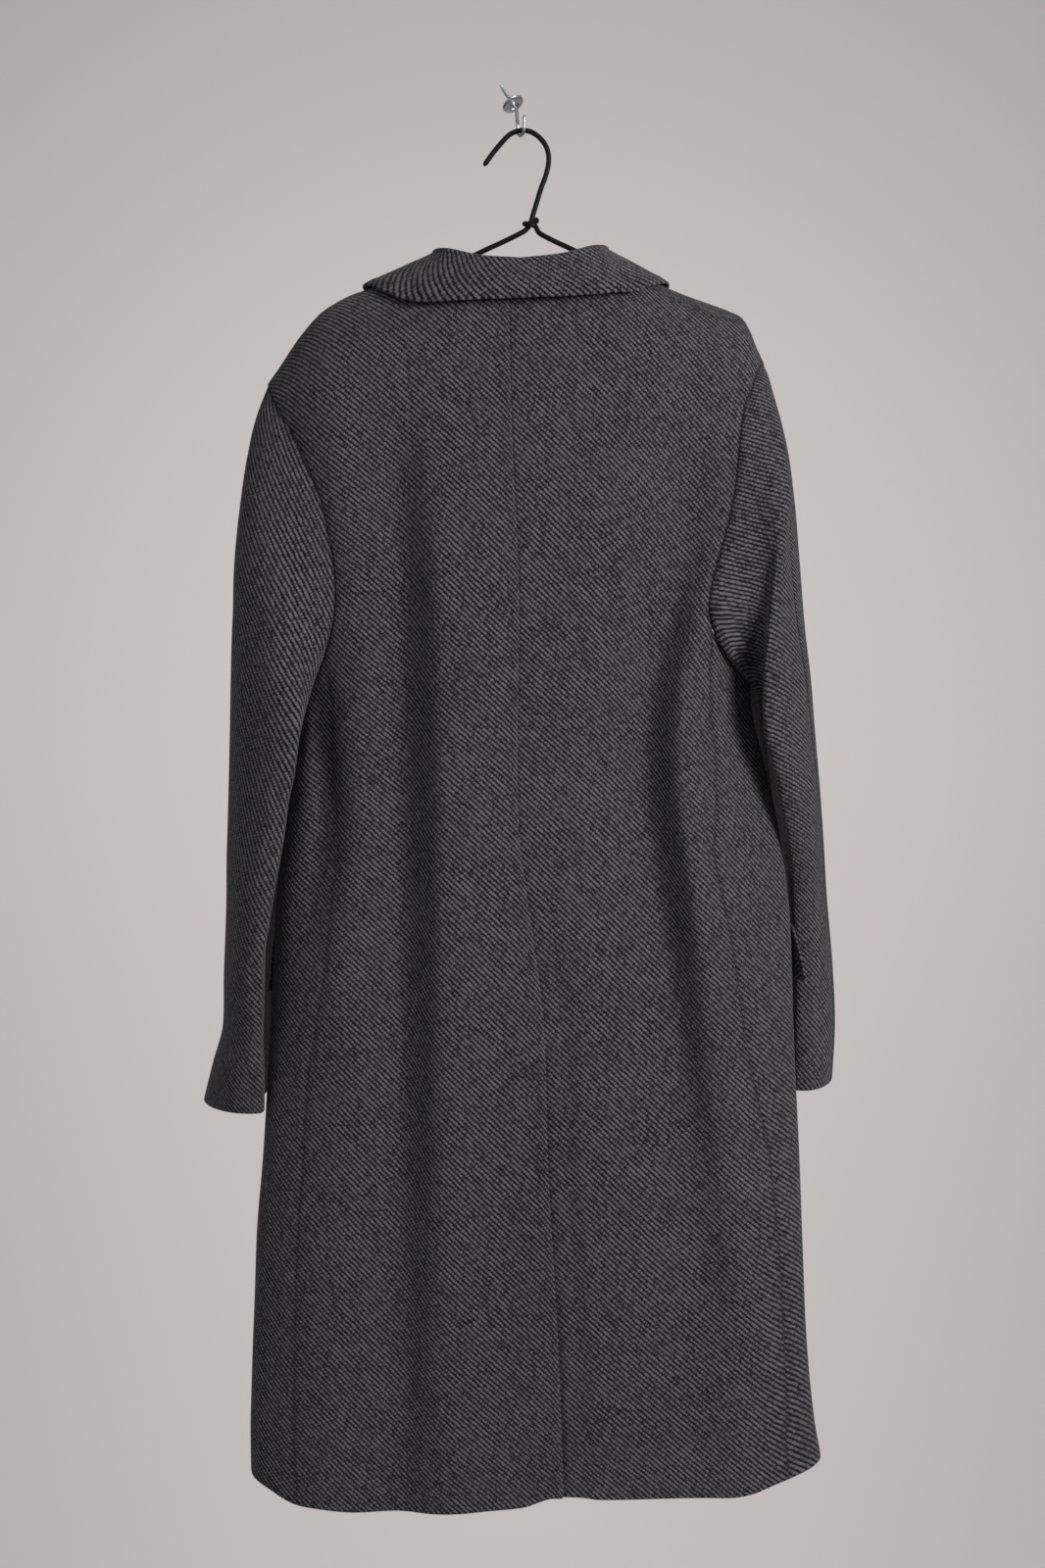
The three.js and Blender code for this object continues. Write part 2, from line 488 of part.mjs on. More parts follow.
function sleeve(side) {
  const lines = seamLines[side];
  const { sign } = lines;
  const table = SLEEVE[side];
  const value = {};
  for (const key of ['outer', 'inner', 'edge', 'y', 'deep']) value[key] = through(table.z, table[key]);
  const top = table.z[0];
  const cuff = table.z[table.z.length - 1];
  const ring = (turn, z) => {
    const mid = (value.outer(z) + value.inner(z)) / 2;
    const thick = Math.abs(value.outer(z) - value.inner(z)) / 2;
    const reach = Math.abs(value.edge(z) - mid);
    const bow = reach > thick ? (reach + Math.sqrt(reach ** 2 - thick ** 2)) / 2 : 0;
    const { across: sin, deep } = section(turn);
    return new THREE.Vector3(mid - sign * (thick * deep + bow * sin * sin), value.y(z) - value.deep(z) * sin, z);
  };
  const loop = joined(
    steps(lines.armholeBack, COUNT.armhole),
    steps(lines.underarm, COUNT.underarm),
    steps(lines.armholeFront, COUNT.armhole),
  );
  const turns = loop.map((_, j) => {
    const [from, to] = UNDER_TURNS;
    if (j <= COUNT.armhole) return mix(0, from, j / COUNT.armhole);
    if (j <= COUNT.armhole + COUNT.underarm) return mix(from, to, (j - COUNT.armhole) / COUNT.underarm);
    return mix(to, 360, (j - COUNT.armhole - COUNT.underarm) / COUNT.armhole);
  });
  const starts = loop.map(({ phi, s }) => shell(phi, s));
  const columnsOut = starts.map((start, j) => {
    const lift = Math.sin(rad(turns[j]));
    const out = Math.abs(lift);
    const leave = new THREE.Vector3(
      sign * (LEAVE[side] + LEAVE.spread * out),
      -LEAVE.turnBack * lift,
      LEAVE.lessDown * out - LEAVE.down,
    ).normalize();
    const turn = turns[j] + SEAM_TURN[side];
    const end = ring(turn, top);
    const arrive = ring(turn, top - 15).sub(end).normalize();
    const reach = start.distanceTo(end);
    const column = [];
    for (let i = 0; i <= HEAD_ROWS; i += 1) {
      const t = i / HEAD_ROWS;
      column.push(start.clone().multiplyScalar((1 + 2 * t) * (1 - t) ** 2)
        .addScaledVector(leave, t * (1 - t) ** 2 * reach)
        .addScaledVector(end, t * t * (3 - 2 * t))
        .addScaledVector(arrive, t * t * (t - 1) * reach));
    }
    for (let i = 1; i <= ARM_ROWS; i += 1) column.push(ring(turn, mix(top, cuff, i / ARM_ROWS)));
    return { column, leave };
  });
  const line = through(SLEEVE_LINE[side].z, SLEEVE_LINE[side].x);
  for (let i = 1; i < HEAD_ROWS; i += 1) {
    const widest = columnsOut.map((c) => c.column[i]).reduce((a, b) => (sign * b.x > sign * a.x ? b : a));
    const shift = line(widest.z) - widest.x;
    columnsOut.forEach((c, j) => {
      c.column[i].x += shift * Math.max(Math.cos(rad(turns[j] + SEAM_TURN[side])), 0) ** LINE_FADE;
    });
  }
  const rows = HEAD_ROWS + ARM_ROWS;
  const count = loop.length - 1;
  const outer = Array.from({ length: rows + 1 }, (_, i) => columnsOut.map((c) => c.column[i].clone()));
  const normal = (i, j) => {
    const before = j === 0 ? count - 1 : j - 1;
    const after = j === count ? 1 : j + 1;
    const round = outer[i][after].clone().sub(outer[i][before]);
    const down = i === 0 ? columnsOut[j].leave.clone()
      : outer[Math.min(i + 1, rows)][j].clone().sub(outer[i - 1][j]);
    return down.cross(round).normalize().multiplyScalar(-sign);
  };
  const middleOf = (i) => outer[i].slice(0, count).reduce((a, p) => a.add(p), new THREE.Vector3()).divideScalar(count);
  const outward = normal(rows, 3).dot(outer[rows][3].clone().sub(middleOf(rows))) > 0 ? 1 : -1;
  const inner = outer.map((row, i) => row.map((p, j) => p.clone().addScaledVector(normal(i, j), -outward * CLOTH)));
  const mitre = loop.map(({ phi, s }, j) => {
    const body = shellNormal(phi, s);
    const way = body.clone().add(normal(0, j).multiplyScalar(outward)).normalize();
    return way.multiplyScalar(-CLOTH * Math.min(1 / Math.max(way.dot(body), 0.1), LONGEST_MITRE));
  });
  inner[0] = outer[0].map((p, j) => p.clone().add(mitre[j]));
  return { outer, inner, mitre, count };
}

const sleeves = { left: sleeve('left'), right: sleeve('right') };

function addSleeve(side) {
  const { outer, inner, count } = sleeves[side];
  const seam = count / 2;
  for (const [part, from, to] of [['back', 0, seam], ['front', seam, count]]) {
    const cut = (grid) => grid.map((row) => row.slice(from, to + 1).map((p) => p.clone()));
    const walls = [cut(outer), cut(inner)];
    drawBack(...walls, { top: SEAM_GAP, first: SEAM_GAP / 2, last: SEAM_GAP / 2 });
    addWall(`sleeve_${part}_${side}`, ...walls);
  }
}

// ------------------------------------------------------------------ body panels
const HALF_GAP = SEAM_GAP / 2;

function mitreColumn(side, from, count, column, reversed = false) {
  const { mitre } = sleeves[side];
  const ways = {};
  for (let i = 0; i <= count; i += 1) ways[`${i},${column}`] = mitre[reversed ? from - i : from + i];
  return ways;
}

function hemBetween(a, b, count) {
  return Array.from({ length: count + 1 }, (_, j) => hemAt(mix(a.phi, b.phi, j / count)));
}

// Below the vent's top the right panel runs on behind the left one. The heights over which its lap
// widens and over which it sinks, the latter from above the vent's top, and the strip where it sinks.
const VENT = { widens: 45, sinks: 40, above: 75, stripFrom: 32, strip: 16 };
function ventEdge(sign, z) {
  const lap = sign > 0 ? -VENT_LAP * smooth((VENT_TOP_Z - z) / VENT.widens) : 0;
  return centreBack(z) + lap;
}
function ventShift(sign) {
  if (sign < 0) return () => 0;
  return (p) => {
    const beside = smooth((centreBack(p.z) + VENT.stripFrom - p.x) / VENT.strip);
    return -(CLOTH + VENT_CLEARANCE) * beside * smooth((VENT_TOP_Z + VENT.above - p.z) / VENT.sinks);
  };
}

function addBack(side) {
  const lines = seamLines[side];
  const rows = COUNT.armhole + COUNT.side;
  const top = joined(steps(lines.neck, COUNT.neck), steps(lines.shoulderSeam, COUNT.shoulder));
  const last = joined(steps(lines.armholeBack, COUNT.armhole), steps(lines.backSide, COUNT.side));
  const topZ = CENTRE_BACK.z[0];
  const endX = ventEdge(lines.sign, CENTRE_BACK.z[CENTRE_BACK.z.length - 1]);
  const first = Array.from({ length: rows + 1 }, (_, i) => {
    const z = mix(topZ, hem(endX), i / rows);
    return locate(ventEdge(lines.sign, z), z, -1);
  });
  const bottom = hemBetween(first[rows], last[rows], top.length - 1);
  const grid = patch(top, bottom, first, last);
  const mitre = mitreColumn(side, 0, COUNT.armhole, top.length - 1);
  const walls = wallOnShell(grid, ventShift(lines.sign), mitre);
  drawBack(...walls, { top: HALF_GAP, first: HALF_GAP, last: HALF_GAP });
  addWall(`back_${side}`, ...walls);
}

function addSide(side) {
  const lines = seamLines[side];
  const top = steps(lines.underarm, COUNT.underarm);
  const first = steps(lines.backSide, COUNT.side);
  const last = steps(lines.frontSide, COUNT.side);
  const bottom = hemBetween(first[COUNT.side], last[COUNT.side], COUNT.underarm);
  const grid = patch(top, bottom, first, last);
  const mitre = {};
  top.forEach((_, j) => { mitre[`0,${j}`] = sleeves[side].mitre[COUNT.armhole + j]; });
  const walls = wallOnShell(grid, undefined, mitre);
  drawBack(...walls, { top: HALF_GAP, first: HALF_GAP, last: HALF_GAP });
  addWall(`side_${side}`, ...walls);
}

// The left front lies over the right one where they pass each other: it rises over a strip that
// starts on its own side of the neck's middle, and over a height below the lapels' roll.
const FRONT_CLEARANCE = 1.4;
const LAP = { aside: 85, strip: 30, top: -290, height: 45 };
function lapShift(sign) {
  if (sign > 0) return () => 0;
  return (p) => (CLOTH + FRONT_CLEARANCE)
    * smooth((p.x - (NECK_X - LAP.aside)) / LAP.strip) * smooth((LAP.top - p.z) / LAP.height);
}

function addFront(side) {
  const lines = seamLines[side];
  const seam = joined(steps(lines.armholeBack, COUNT.armhole), steps(lines.underarm, COUNT.underarm));
  const top = steps(lines.shoulderFront, COUNT.shoulder);
  const last = joined(steps(lines.armholeFront, COUNT.armhole).reverse(), steps(lines.frontSide, COUNT.side));
  const lower = COUNT.armhole + COUNT.side - COUNT.frontNeck;
  const first = joined(steps(lines.neckFront, COUNT.frontNeck), steps(lines.front, lower));
  first.forEach((p) => { p.phi = unwrap(lines.sign, p.phi); });
  const bottom = hemBetween(first[first.length - 1], last[last.length - 1], COUNT.shoulder);
  const grid = patch(top, bottom, first, last);
  const end = seam.length - 1 + COUNT.armhole;
  const mitre = mitreColumn(side, end, COUNT.armhole, COUNT.shoulder, true);
  const walls = wallOnShell(grid, lapShift(lines.sign), mitre);
  drawBack(...walls, { top: HALF_GAP, first: HALF_GAP, last: HALF_GAP });
  addWall(`front_${side}`, ...walls);
}

// ------------------------------------------------------------------ pieces on the fronts
function laid(lines, x, z, lift) {
  const { phi, s } = locate(x, z, 1);
  const p = shell(phi, s);
  return p.addScaledVector(shellNormal(phi, s), lift + lapShift(lines.sign)(p));
}

// Level by level: the lapel's outer edge, as its distance from the middle of the neck.
const LAPEL = {
  left: columns('z out', [[-250, 120], [-270, 119], [-320, 103], [-380, 72], [-430, 34], [-462, -16]]),
  right: columns('z out', [[-250, 120], [-270, 119], [-300, 108], [-330, 82], [-348, 56], [-358, 28]]),
};
const LAPEL_LIFT = 1.1;         // between the front and the lapel that is folded back on it
const LAPEL_INSET = { roll: 3, top: 6, out: 1 };  // from the front's roll line, the gorge and the lapel's point
const LAPEL_ROWS = 10;
const LAPEL_COLUMNS = 5;

function addLapel(side) {
  const lines = seamLines[side];
  const out = through(LAPEL[side].z, LAPEL[side].out);
  const endZ = LAPEL[side].z[LAPEL[side].z.length - 1];
  const wall = (lift) => Array.from({ length: LAPEL_ROWS + 1 }, (_, i) => {
    const v = i / LAPEL_ROWS;
    const rollZ = mix(GORGE.z - LAPEL_INSET.top, endZ, v);
    const rollT = (GORGE.z - rollZ) / (GORGE.z - ROLL_END_Z);
    const roll = mix(GORGE.half, -FRONT_LAP, rollT) + LAPEL_INSET.roll;
    const outZ = mix(LAPEL[side].z[0], endZ - LAPEL_INSET.out, v);
    return Array.from({ length: LAPEL_COLUMNS + 1 }, (__, j) => {
      const u = j / LAPEL_COLUMNS;
      return laid(lines, NECK_X + lines.sign * mix(roll, out(outZ), u), mix(rollZ, outZ, u), lift);
    });
  });
  addWall(`lapel_${side}`, wall(LAPEL_LIFT + CLOTH), wall(LAPEL_LIFT));
}

// The flaps start at the side and run forward; the rear end of the right one stands off.
const FLAP = {
  left: { rearTurn: 100, frontTurn: 146, topZ: -746, height: 56, rearLift: 2 },
  right: { rearTurn: 80, frontTurn: 132, topZ: -740, height: 48, rearLift: 9 },
};
const FLAP_HANG = { edge: 1.2, power: 0.8, rearShare: 1 / 6 };  // how a flap stands off toward its edge and its rear
const FLAP_ROWS = 4;
const FLAP_COLUMNS = 7;

function addFlap(side) {
  const { rearTurn, frontTurn, topZ, height, rearLift } = FLAP[side];
  const { sign } = seamLines[side];
  const wall = (lift) => Array.from({ length: FLAP_ROWS + 1 }, (_, i) => {
    const v = i / FLAP_ROWS;
    return Array.from({ length: FLAP_COLUMNS + 1 }, (__, j) => {
      const u = j / FLAP_COLUMNS;
      const phi = sign * mix(rearTurn, frontTurn, u);
      const top = ridge(SHOULDER_MID_X + SHOULDER_HALF * section(phi).across);
      const s = top - (topZ - v * height) - SHOULDER_ROUND + SHOULDER_ROUND * Math.PI / 2;
      const stand = rearLift * v ** FLAP_HANG.power * (1 - smooth(u / FLAP_HANG.rearShare)) + FLAP_HANG.edge * v;
      return shell(phi, s).addScaledVector(shellNormal(phi, s), lift + stand);
    });
  });
  addWall(`flap_${side}`, wall(LAID_GAP + CLOTH), wall(LAID_GAP));
}

const BUTTON_Z = [-492, -612, -732];
const BUTTON_LIFT = LAID_GAP + 0.2;

function addButton(index) {
  const lines = seamLines.left;
  const z = BUTTON_Z[index];
  const x = (frontEdge(-1, z) + frontEdge(1, z)) / 2;
  const on = laid(lines, x, z, BUTTON_LIFT);
  const normal = laid(lines, x, z, 10).sub(laid(lines, x, z, 0)).normalize();
  const profile = [[0, 0], [0.8, 0], [1, 1.2], [1, 3.6], [0.93, 4.4], [0.8, 4.2], [0.72, 3.2], [0, 3]]
    .map(([r, h]) => new THREE.Vector2(r * BUTTON_RADIUS, h));
  const lathe = new THREE.LatheGeometry(profile, 16);
  lathe.applyQuaternion(new THREE.Quaternion().setFromUnitVectors(new THREE.Vector3(0, 1, 0), normal));
  lathe.translate(on.x, on.y, on.z);
  const mesh = new THREE.Mesh(lathe, new THREE.MeshStandardMaterial(HORN));
  mesh.name = `button_${index + 1}`;
  model.add(mesh);
}

// ------------------------------------------------------------------ collar
// Station by station from the centre back round to the front, as distances from the middle of the
// neck: the fold, and the free edge (where it runs on the shell, negative behind, how far off it, and
// how much further out it reaches on the wearer's left).
const COLLAR = columns('station foldX foldY foldZ edgeX edgeRun edgeLift leftOut', [
  [0, 0, -67, -146, 0, -84, 12, 0],
  [2, 36, -62, -142, 46, -82, 11, 2],
  [3.4, 60, -48, -134.5, 80, -74, 9, 4],
  [4.2, 68, -34, -131.5, 102, -57, 6.8, 6],
  [5, 75, -18, -130.5, 124, -22, 4.6, 8],
  [6.6, 76, 6, -140, 131, 14, 4.2, 8],
  [8.3, 70, 26, -163, 121, 62, 4, 4],
  [10, 62, 40, -197, 100, 108, 4, 0],
]);
const LEAF_CLEARANCE = CLOTH / 2 + 1.1;
const COLLAR_TILT = 0.02;       // the collar's right end hangs this much higher
const FOLD_RADIUS = 3.2;
const LEAF_BOW = 2;              // how far the collar's leaf bows out between fold and edge
const COLLAR_SEAM = { back: 2.4, front: 3.6 };  // from the neck's edge up to the collar's

function collarStation(side, station) {
  const { sign, neck, neckFront } = seamLines[side];
  const at = (key) => through(COLLAR.station, COLLAR[key])(station);
  const foot = station <= COUNT.neck ? neck(station / COUNT.neck)
    : neckFront((station - COUNT.neck) / COUNT.frontNeck);
  const fold = new THREE.Vector3(NECK_X + sign * at('foldX'), at('foldY'), at('foldZ') + COLLAR_TILT * sign * at('foldX'));
  const edgeX = NECK_X + sign * (at('edgeX') + (sign < 0 ? at('leftOut') : 0));
  const run = at('edgeRun');
  const turn = sign * (run < 0 ? turnAt(edgeX) : 180 - turnAt(edgeX));
  const free = shell(turn, Math.abs(run));
  free.addScaledVector(shellNormal(turn, Math.abs(run)), at('edgeLift'));
  const base = shell(foot.phi, foot.s).addScaledVector(shellNormal(foot.phi, foot.s), -CLOTH / 2);
  const rise = fold.clone().sub(base).normalize();
  base.addScaledVector(rise, station > COUNT.neck ? COLLAR_SEAM.front : COLLAR_SEAM.back);
  const out = free.clone().sub(fold).setZ(0).normalize();
  const turnPoint = (angle) => fold.clone()
    .addScaledVector(out, FOLD_RADIUS * Math.cos(rad(angle)))
    .add(new THREE.Vector3(0, 0, FOLD_RADIUS * (Math.sin(rad(angle)) - 1)));
  const inside = turnPoint(180);
  const outside = turnPoint(0);
  const leaf = [turnPoint(45), outside, ...[1 / 3, 2 / 3].map((t) => (
    outside.clone().lerp(free, t).addScaledVector(out, LEAF_BOW))), free];
  return [
    base, base.clone().lerp(inside, 0.5), inside, turnPoint(135), turnPoint(90),
    ...leaf.map((p, k) => {
      const t = Math.max(k - 1, 0) / 3;
      const near = { phi: mix(foot.phi, turn, 0.3 + 0.7 * t), s: mix(Math.abs(foot.s), Math.abs(run), t) };
      return clearOf(p, near, LEAF_CLEARANCE);
    }),
  ];
}

function addCollar() {
  const stations = COUNT.neck + COUNT.frontNeck;
  const lines = [];
  for (let i = stations; i >= 1; i -= 1) lines.push(collarStation('left', i));
  lines.push(collarStation('left', 0));
  for (let i = 1; i <= stations; i += 1) lines.push(collarStation('right', i));
  const rows = lines.length - 1;
  const cols = lines[0].length - 1;
  const offset = (distance) => lines.map((row, i) => row.map((p, j) => {
    const along = lines[Math.min(i + 1, rows)][j].clone().sub(lines[Math.max(i - 1, 0)][j]);
    const across = row[Math.min(j + 1, cols)].clone().sub(row[Math.max(j - 1, 0)]);
    return p.clone().addScaledVector(along.cross(across).normalize(), distance);
  }));
  addWall('collar', offset(CLOTH / 2), offset(-CLOTH / 2));
}

// ------------------------------------------------------------------ hanger and hook
// A round rod along a list of points, closed at both ends, with frames carried along without twist.
function addRod(name, path, radius, sides, look) {
  const points = [];
  const triangles = [];
  let side = new THREE.Vector3();
  path.forEach((p, i) => {
    const ahead = path[Math.min(i + 1, path.length - 1)].clone().sub(path[Math.max(i - 1, 0)]).normalize();
    if (i === 0) side = new THREE.Vector3(0.31, 0.87, 0.38).cross(ahead).normalize();
    side.addScaledVector(ahead, -side.dot(ahead)).normalize();
    const other = ahead.clone().cross(side);
    for (let k = 0; k < sides; k += 1) {
      const a = 2 * Math.PI * k / sides;
      points.push(p.clone().addScaledVector(side, radius * Math.cos(a)).addScaledVector(other, radius * Math.sin(a)));
    }
  });
  const ends = [points.length, points.length + 1];
  points.push(path[0].clone(), path[path.length - 1].clone());
  for (let i = 0; i < path.length; i += 1) {
    for (let k = 0; k < sides; k += 1) {
      const next = (k + 1) % sides;
      const a = i * sides + k;
      const b = i * sides + next;
      if (i < path.length - 1) triangles.push([a, b, b + sides], [a, b + sides, a + sides]);
      if (i === 0) triangles.push([ends[0], b, a]);
      if (i === path.length - 1) triangles.push([ends[1], a, b]);
    }
  }
  addMesh(name, points, triangles, look);
}

const HANGER = {
  x: 15,
  hook: columns('x z', [[-25.5, -57], [-17.5, -46], [-10, -37.2], [-3, -30.2], [4, -27], [10, -26.2], [17, -27.8],
    [24, -32.6], [29.4, -39.5], [32, -48], [31.6, -57], [29, -67], [25.2, -77], [21.2, -90], [18.4, -99], [15.6, -108]]),
  neckZ: -109,
  arm: columns('out drop', [[5, 5.4], [46, 25], [95, 50], [140, 69.5], [181, 86.5]]),
  bendOut: 178,
  bendDrop: 97,
  bend: 10,
  crossing: { out: 9.5, drop: 7.4 },  // where the wire's end comes up beside the neck
};
const TWIST = { radius: 2 * HANGER_WIRE + 0.4, turns: 1.1, pitch: 5.3, steps: 12, foot: -110.5 };

// One wire: the hook, the left shoulder, the bar, the right shoulder, and its end wound round the stem.
function addHangerWire() {
  const v = (x, z, y = PLANE_Y) => new THREE.Vector3(x, y, z);
  const { x, neckZ, hook, arm, bendOut, bendDrop, bend, crossing } = HANGER;
  const stem = hook.x.map((hx, i) => v(hx, hook.z[i]));
  const armLine = (sign, from) => arm.out.map((out, i) => v(x + sign * out, neckZ - arm.drop[i])).slice(from);
  const corner = (sign) => [45, 15, -15, -45, -72, -90].map((a) => v(
    x + sign * (bendOut + bend * Math.cos(rad(a))),
    neckZ - bendDrop + bend * Math.sin(rad(a)),
  ));
  const bar = [-100, 0, 100].map((bx) => v(x + bx, neckZ - bendDrop - bend));
  const stemX = through(hook.z.slice(9), hook.x.slice(9));
  const twist = Array.from({ length: TWIST.steps + 1 }, (_, i) => {
    const turn = 2 * Math.PI * TWIST.turns * i / TWIST.steps;
    const z = TWIST.foot + TWIST.pitch * TWIST.turns * i / TWIST.steps;
    return v(stemX(z) + TWIST.radius * Math.cos(turn), z, PLANE_Y - TWIST.radius * Math.sin(turn));
  });
  const path = [
    ...stem, ...armLine(-1, 0), ...corner(-1), ...bar, ...corner(1).reverse(), ...armLine(1, 1).reverse(),
    v(x + crossing.out, neckZ - crossing.drop), ...twist,
  ];
  addRod('hanger_wire', path, HANGER_WIRE, 8, COATED);
}

// The ceiling's normal, into the room, and the hook's own sizes.
const INTO_ROOM = new THREE.Vector3(0.4765, -0.4359, -0.7635).normalize();
const EYE = { centre: new THREE.Vector3(7.5, PLANE_Y, -23.5), radius: 7.5, tip: 9 };
const EYE_BACK = new THREE.Vector3(-0.39, 0.92, 0).normalize();  // the level way in which the eye stands
const SHANK = 24;
const HOOK_NECK = { start: 3, end: 6.5, aim: 8, share: 0.45, sag: 1, rise: 3.5 };  // how the wire bends into the eye

function addHook() {
  const on = (distance) => INTO_ROOM.clone().multiplyScalar(distance);
  const { start: first, end, aim, share, sag, rise } = HOOK_NECK;
  const arc = [];
  for (let a = 0; a <= 180; a += 20) {
    arc.push(EYE.centre.clone().addScaledVector(EYE_BACK, EYE.radius * Math.cos(rad(a)))
      .add(new THREE.Vector3(0, 0, -EYE.radius * Math.sin(rad(a)))));
  }
  const start = arc[0];
  const curve = new THREE.CatmullRomCurve3([
    on(first), on(end), start.clone().lerp(on(aim), share).sub(new THREE.Vector3(0, 0, sag)),
    start.clone().add(new THREE.Vector3(0, 0, rise)), start,
  ]);
  const path = [on(-SHANK), on(-SHANK / 2), on(0), ...curve.getSpacedPoints(8).slice(0, 8), ...arc,
    arc[arc.length - 1].clone().add(new THREE.Vector3(0, 0, EYE.tip / 2)),
    arc[arc.length - 1].clone().add(new THREE.Vector3(0, 0, EYE.tip))];
  addRod('hook_wire', path, HOOK_WIRE, 10, ZINC);
}

function addFlange() {
  const hole = HOOK_WIRE + 0.3;
  const profile = [[hole, 0], [FLANGE_RADIUS, 0], [FLANGE_RADIUS, 0.7], [FLANGE_RADIUS - 1, 1.5], [5.4, 2.2],
    [4.2, 4.2], [hole, 4.6]].map(([r, h]) => new THREE.Vector2(r, h));
  profile.push(profile[0].clone());
  const lathe = new THREE.LatheGeometry(profile, 24);
  lathe.applyQuaternion(new THREE.Quaternion().setFromUnitVectors(new THREE.Vector3(0, 1, 0), INTO_ROOM));
  const mesh = new THREE.Mesh(lathe, new THREE.MeshStandardMaterial(ZINC));
  mesh.name = 'hook_flange';
  model.add(mesh);
}

// ------------------------------------------------------------------ the coat
for (const side of Object.keys(SIDES)) {
  addBack(side);
  addSide(side);
  addFront(side);
  addSleeve(side);
  addLapel(side);
  addFlap(side);
}
BUTTON_Z.forEach((_, index) => addButton(index));
addCollar();
addHangerWire();
addHook();
addFlange();

export default model;
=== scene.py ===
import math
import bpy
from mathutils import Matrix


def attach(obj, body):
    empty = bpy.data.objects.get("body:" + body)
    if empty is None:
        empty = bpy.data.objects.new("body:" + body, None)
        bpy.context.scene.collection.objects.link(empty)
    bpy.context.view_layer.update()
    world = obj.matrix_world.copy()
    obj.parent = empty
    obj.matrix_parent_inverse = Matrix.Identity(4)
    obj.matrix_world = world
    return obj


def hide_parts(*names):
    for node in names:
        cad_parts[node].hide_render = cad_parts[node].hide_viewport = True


bl_info = {
    "name": "Overcoat on a wire hanger",
    "version": (1, 0, 0),
    "blender": (4, 5, 0),
    "location": "View3D > Sidebar > Overcoat",
    "description": "A long wool twill overcoat hanging on a wire hanger from a screw hook in a sloping ceiling",
    "category": "Object",
}

import bpy
import numpy as np
from bpy.props import FloatProperty, FloatVectorProperty, PointerProperty
from mathutils import Matrix, Vector

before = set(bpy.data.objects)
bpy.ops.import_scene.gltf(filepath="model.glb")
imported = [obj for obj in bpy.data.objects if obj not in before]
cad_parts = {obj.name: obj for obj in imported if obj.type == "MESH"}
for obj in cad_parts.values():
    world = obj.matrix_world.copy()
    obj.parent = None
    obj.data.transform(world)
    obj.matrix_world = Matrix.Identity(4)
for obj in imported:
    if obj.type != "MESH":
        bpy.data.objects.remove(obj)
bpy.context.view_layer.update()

# The coat is worked out in millimetres, +Z up, its back facing -Y, and turned into metres when a
# mesh is made. Its body is one shell, shell(phi, s): phi goes round it in degrees from the centre
# back (90 is the right side, 180 the centre front, negative on the wearer's left) and s is the
# distance from the shoulder's ridge down the cloth. Every panel is a patch of that shell.
MM = 0.001
FULL_TURN = 2 * math.pi
PLANE_Y = -15.0  # the plane of the hanger
SHOULDER_MID_X, SHOULDER_HALF = 3.5, 248.5
SHOULDER_ROUND = 60.0  # height over which the shoulder rounds over into back and front
SQUARENESS = 2.6  # exponent of the body's cross-section
YOKE_THIN, YOKE_DEEP = 0.6, 170.0  # the share of the full depth at the ridge, and where it ends
NECK_X = 7.0  # the centre line at the neck
FRONT_LAP = 35.0  # how far each front passes the centre line
VENT_TOP_Z, VENT_LAP, VENT_CLEARANCE = -815.0, 42.0, 1.2
FRONT_CLEARANCE = 1.4  # between the fronts where one lies on the other
FOLD_DEPTH = 1.2  # how much deeper the drawn cloth's folds are than the plain solids'
LAID_GAP = 0.35  # under what lies on the fronts
SEAM_SHADE_HALF_WIDTH = 2.6  # half the width of the painted shade along seams
HALF_GAP = 0.08  # sewn pieces stand this far off their seam line and meet at mid depth
CLOTH = 2.6  # the solids' cloth thickness, for what lies on what
HANGER_WIRE, HOOK_WIRE, FLANGE_RADIUS = 2.3, 1.6, 10.2
SIDES = {"left": -1, "right": 1}


# ------------------------------------------------------------------ tables and curves
def columns(names, rows):
    """The columns of a table by name."""
    return dict(zip(names.split(), np.array(rows, float).T))


def through(keys, values):
    """A smooth curve through keyed values, flat outside them."""
    keys, values = np.asarray(keys, float), np.asarray(values, float)
    if keys[-1] < keys[0]:
        keys, values = keys[::-1], values[::-1]
    count = len(keys)
    before = np.maximum(np.arange(count) - 1, 0)
    after = np.minimum(np.arange(count) + 1, count - 1)
    slope = (values[after] - values[before]) / (keys[after] - keys[before])

    def at(x):
        x = np.clip(x, keys[0], keys[-1])
        i = np.clip(np.searchsorted(keys, x, side="right") - 1, 0, count - 2)
        w = keys[i + 1] - keys[i]
        t = (x - keys[i]) / w
        start = (1 + 2 * t) * (1 - t) ** 2 * values[i] + t * (1 - t) ** 2 * w * slope[i]
        end = t * t * (3 - 2 * t) * values[i + 1] + t * t * (t - 1) * w * slope[i + 1]
        return start + end

    return at


def mix(a, b, t):
    return a + (b - a) * t


def smooth(t):
    """A smooth step from 0 to 1."""
    t = np.clip(t, 0, 1)
    return t * t * (3 - 2 * t)


def hump(off, width):
    """1 in the middle, fading to nothing on both sides."""
    return np.exp(-((off / width) ** 2))


def unit(v):
    return v / np.maximum(np.linalg.norm(v, axis=-1, keepdims=True), 1e-9)


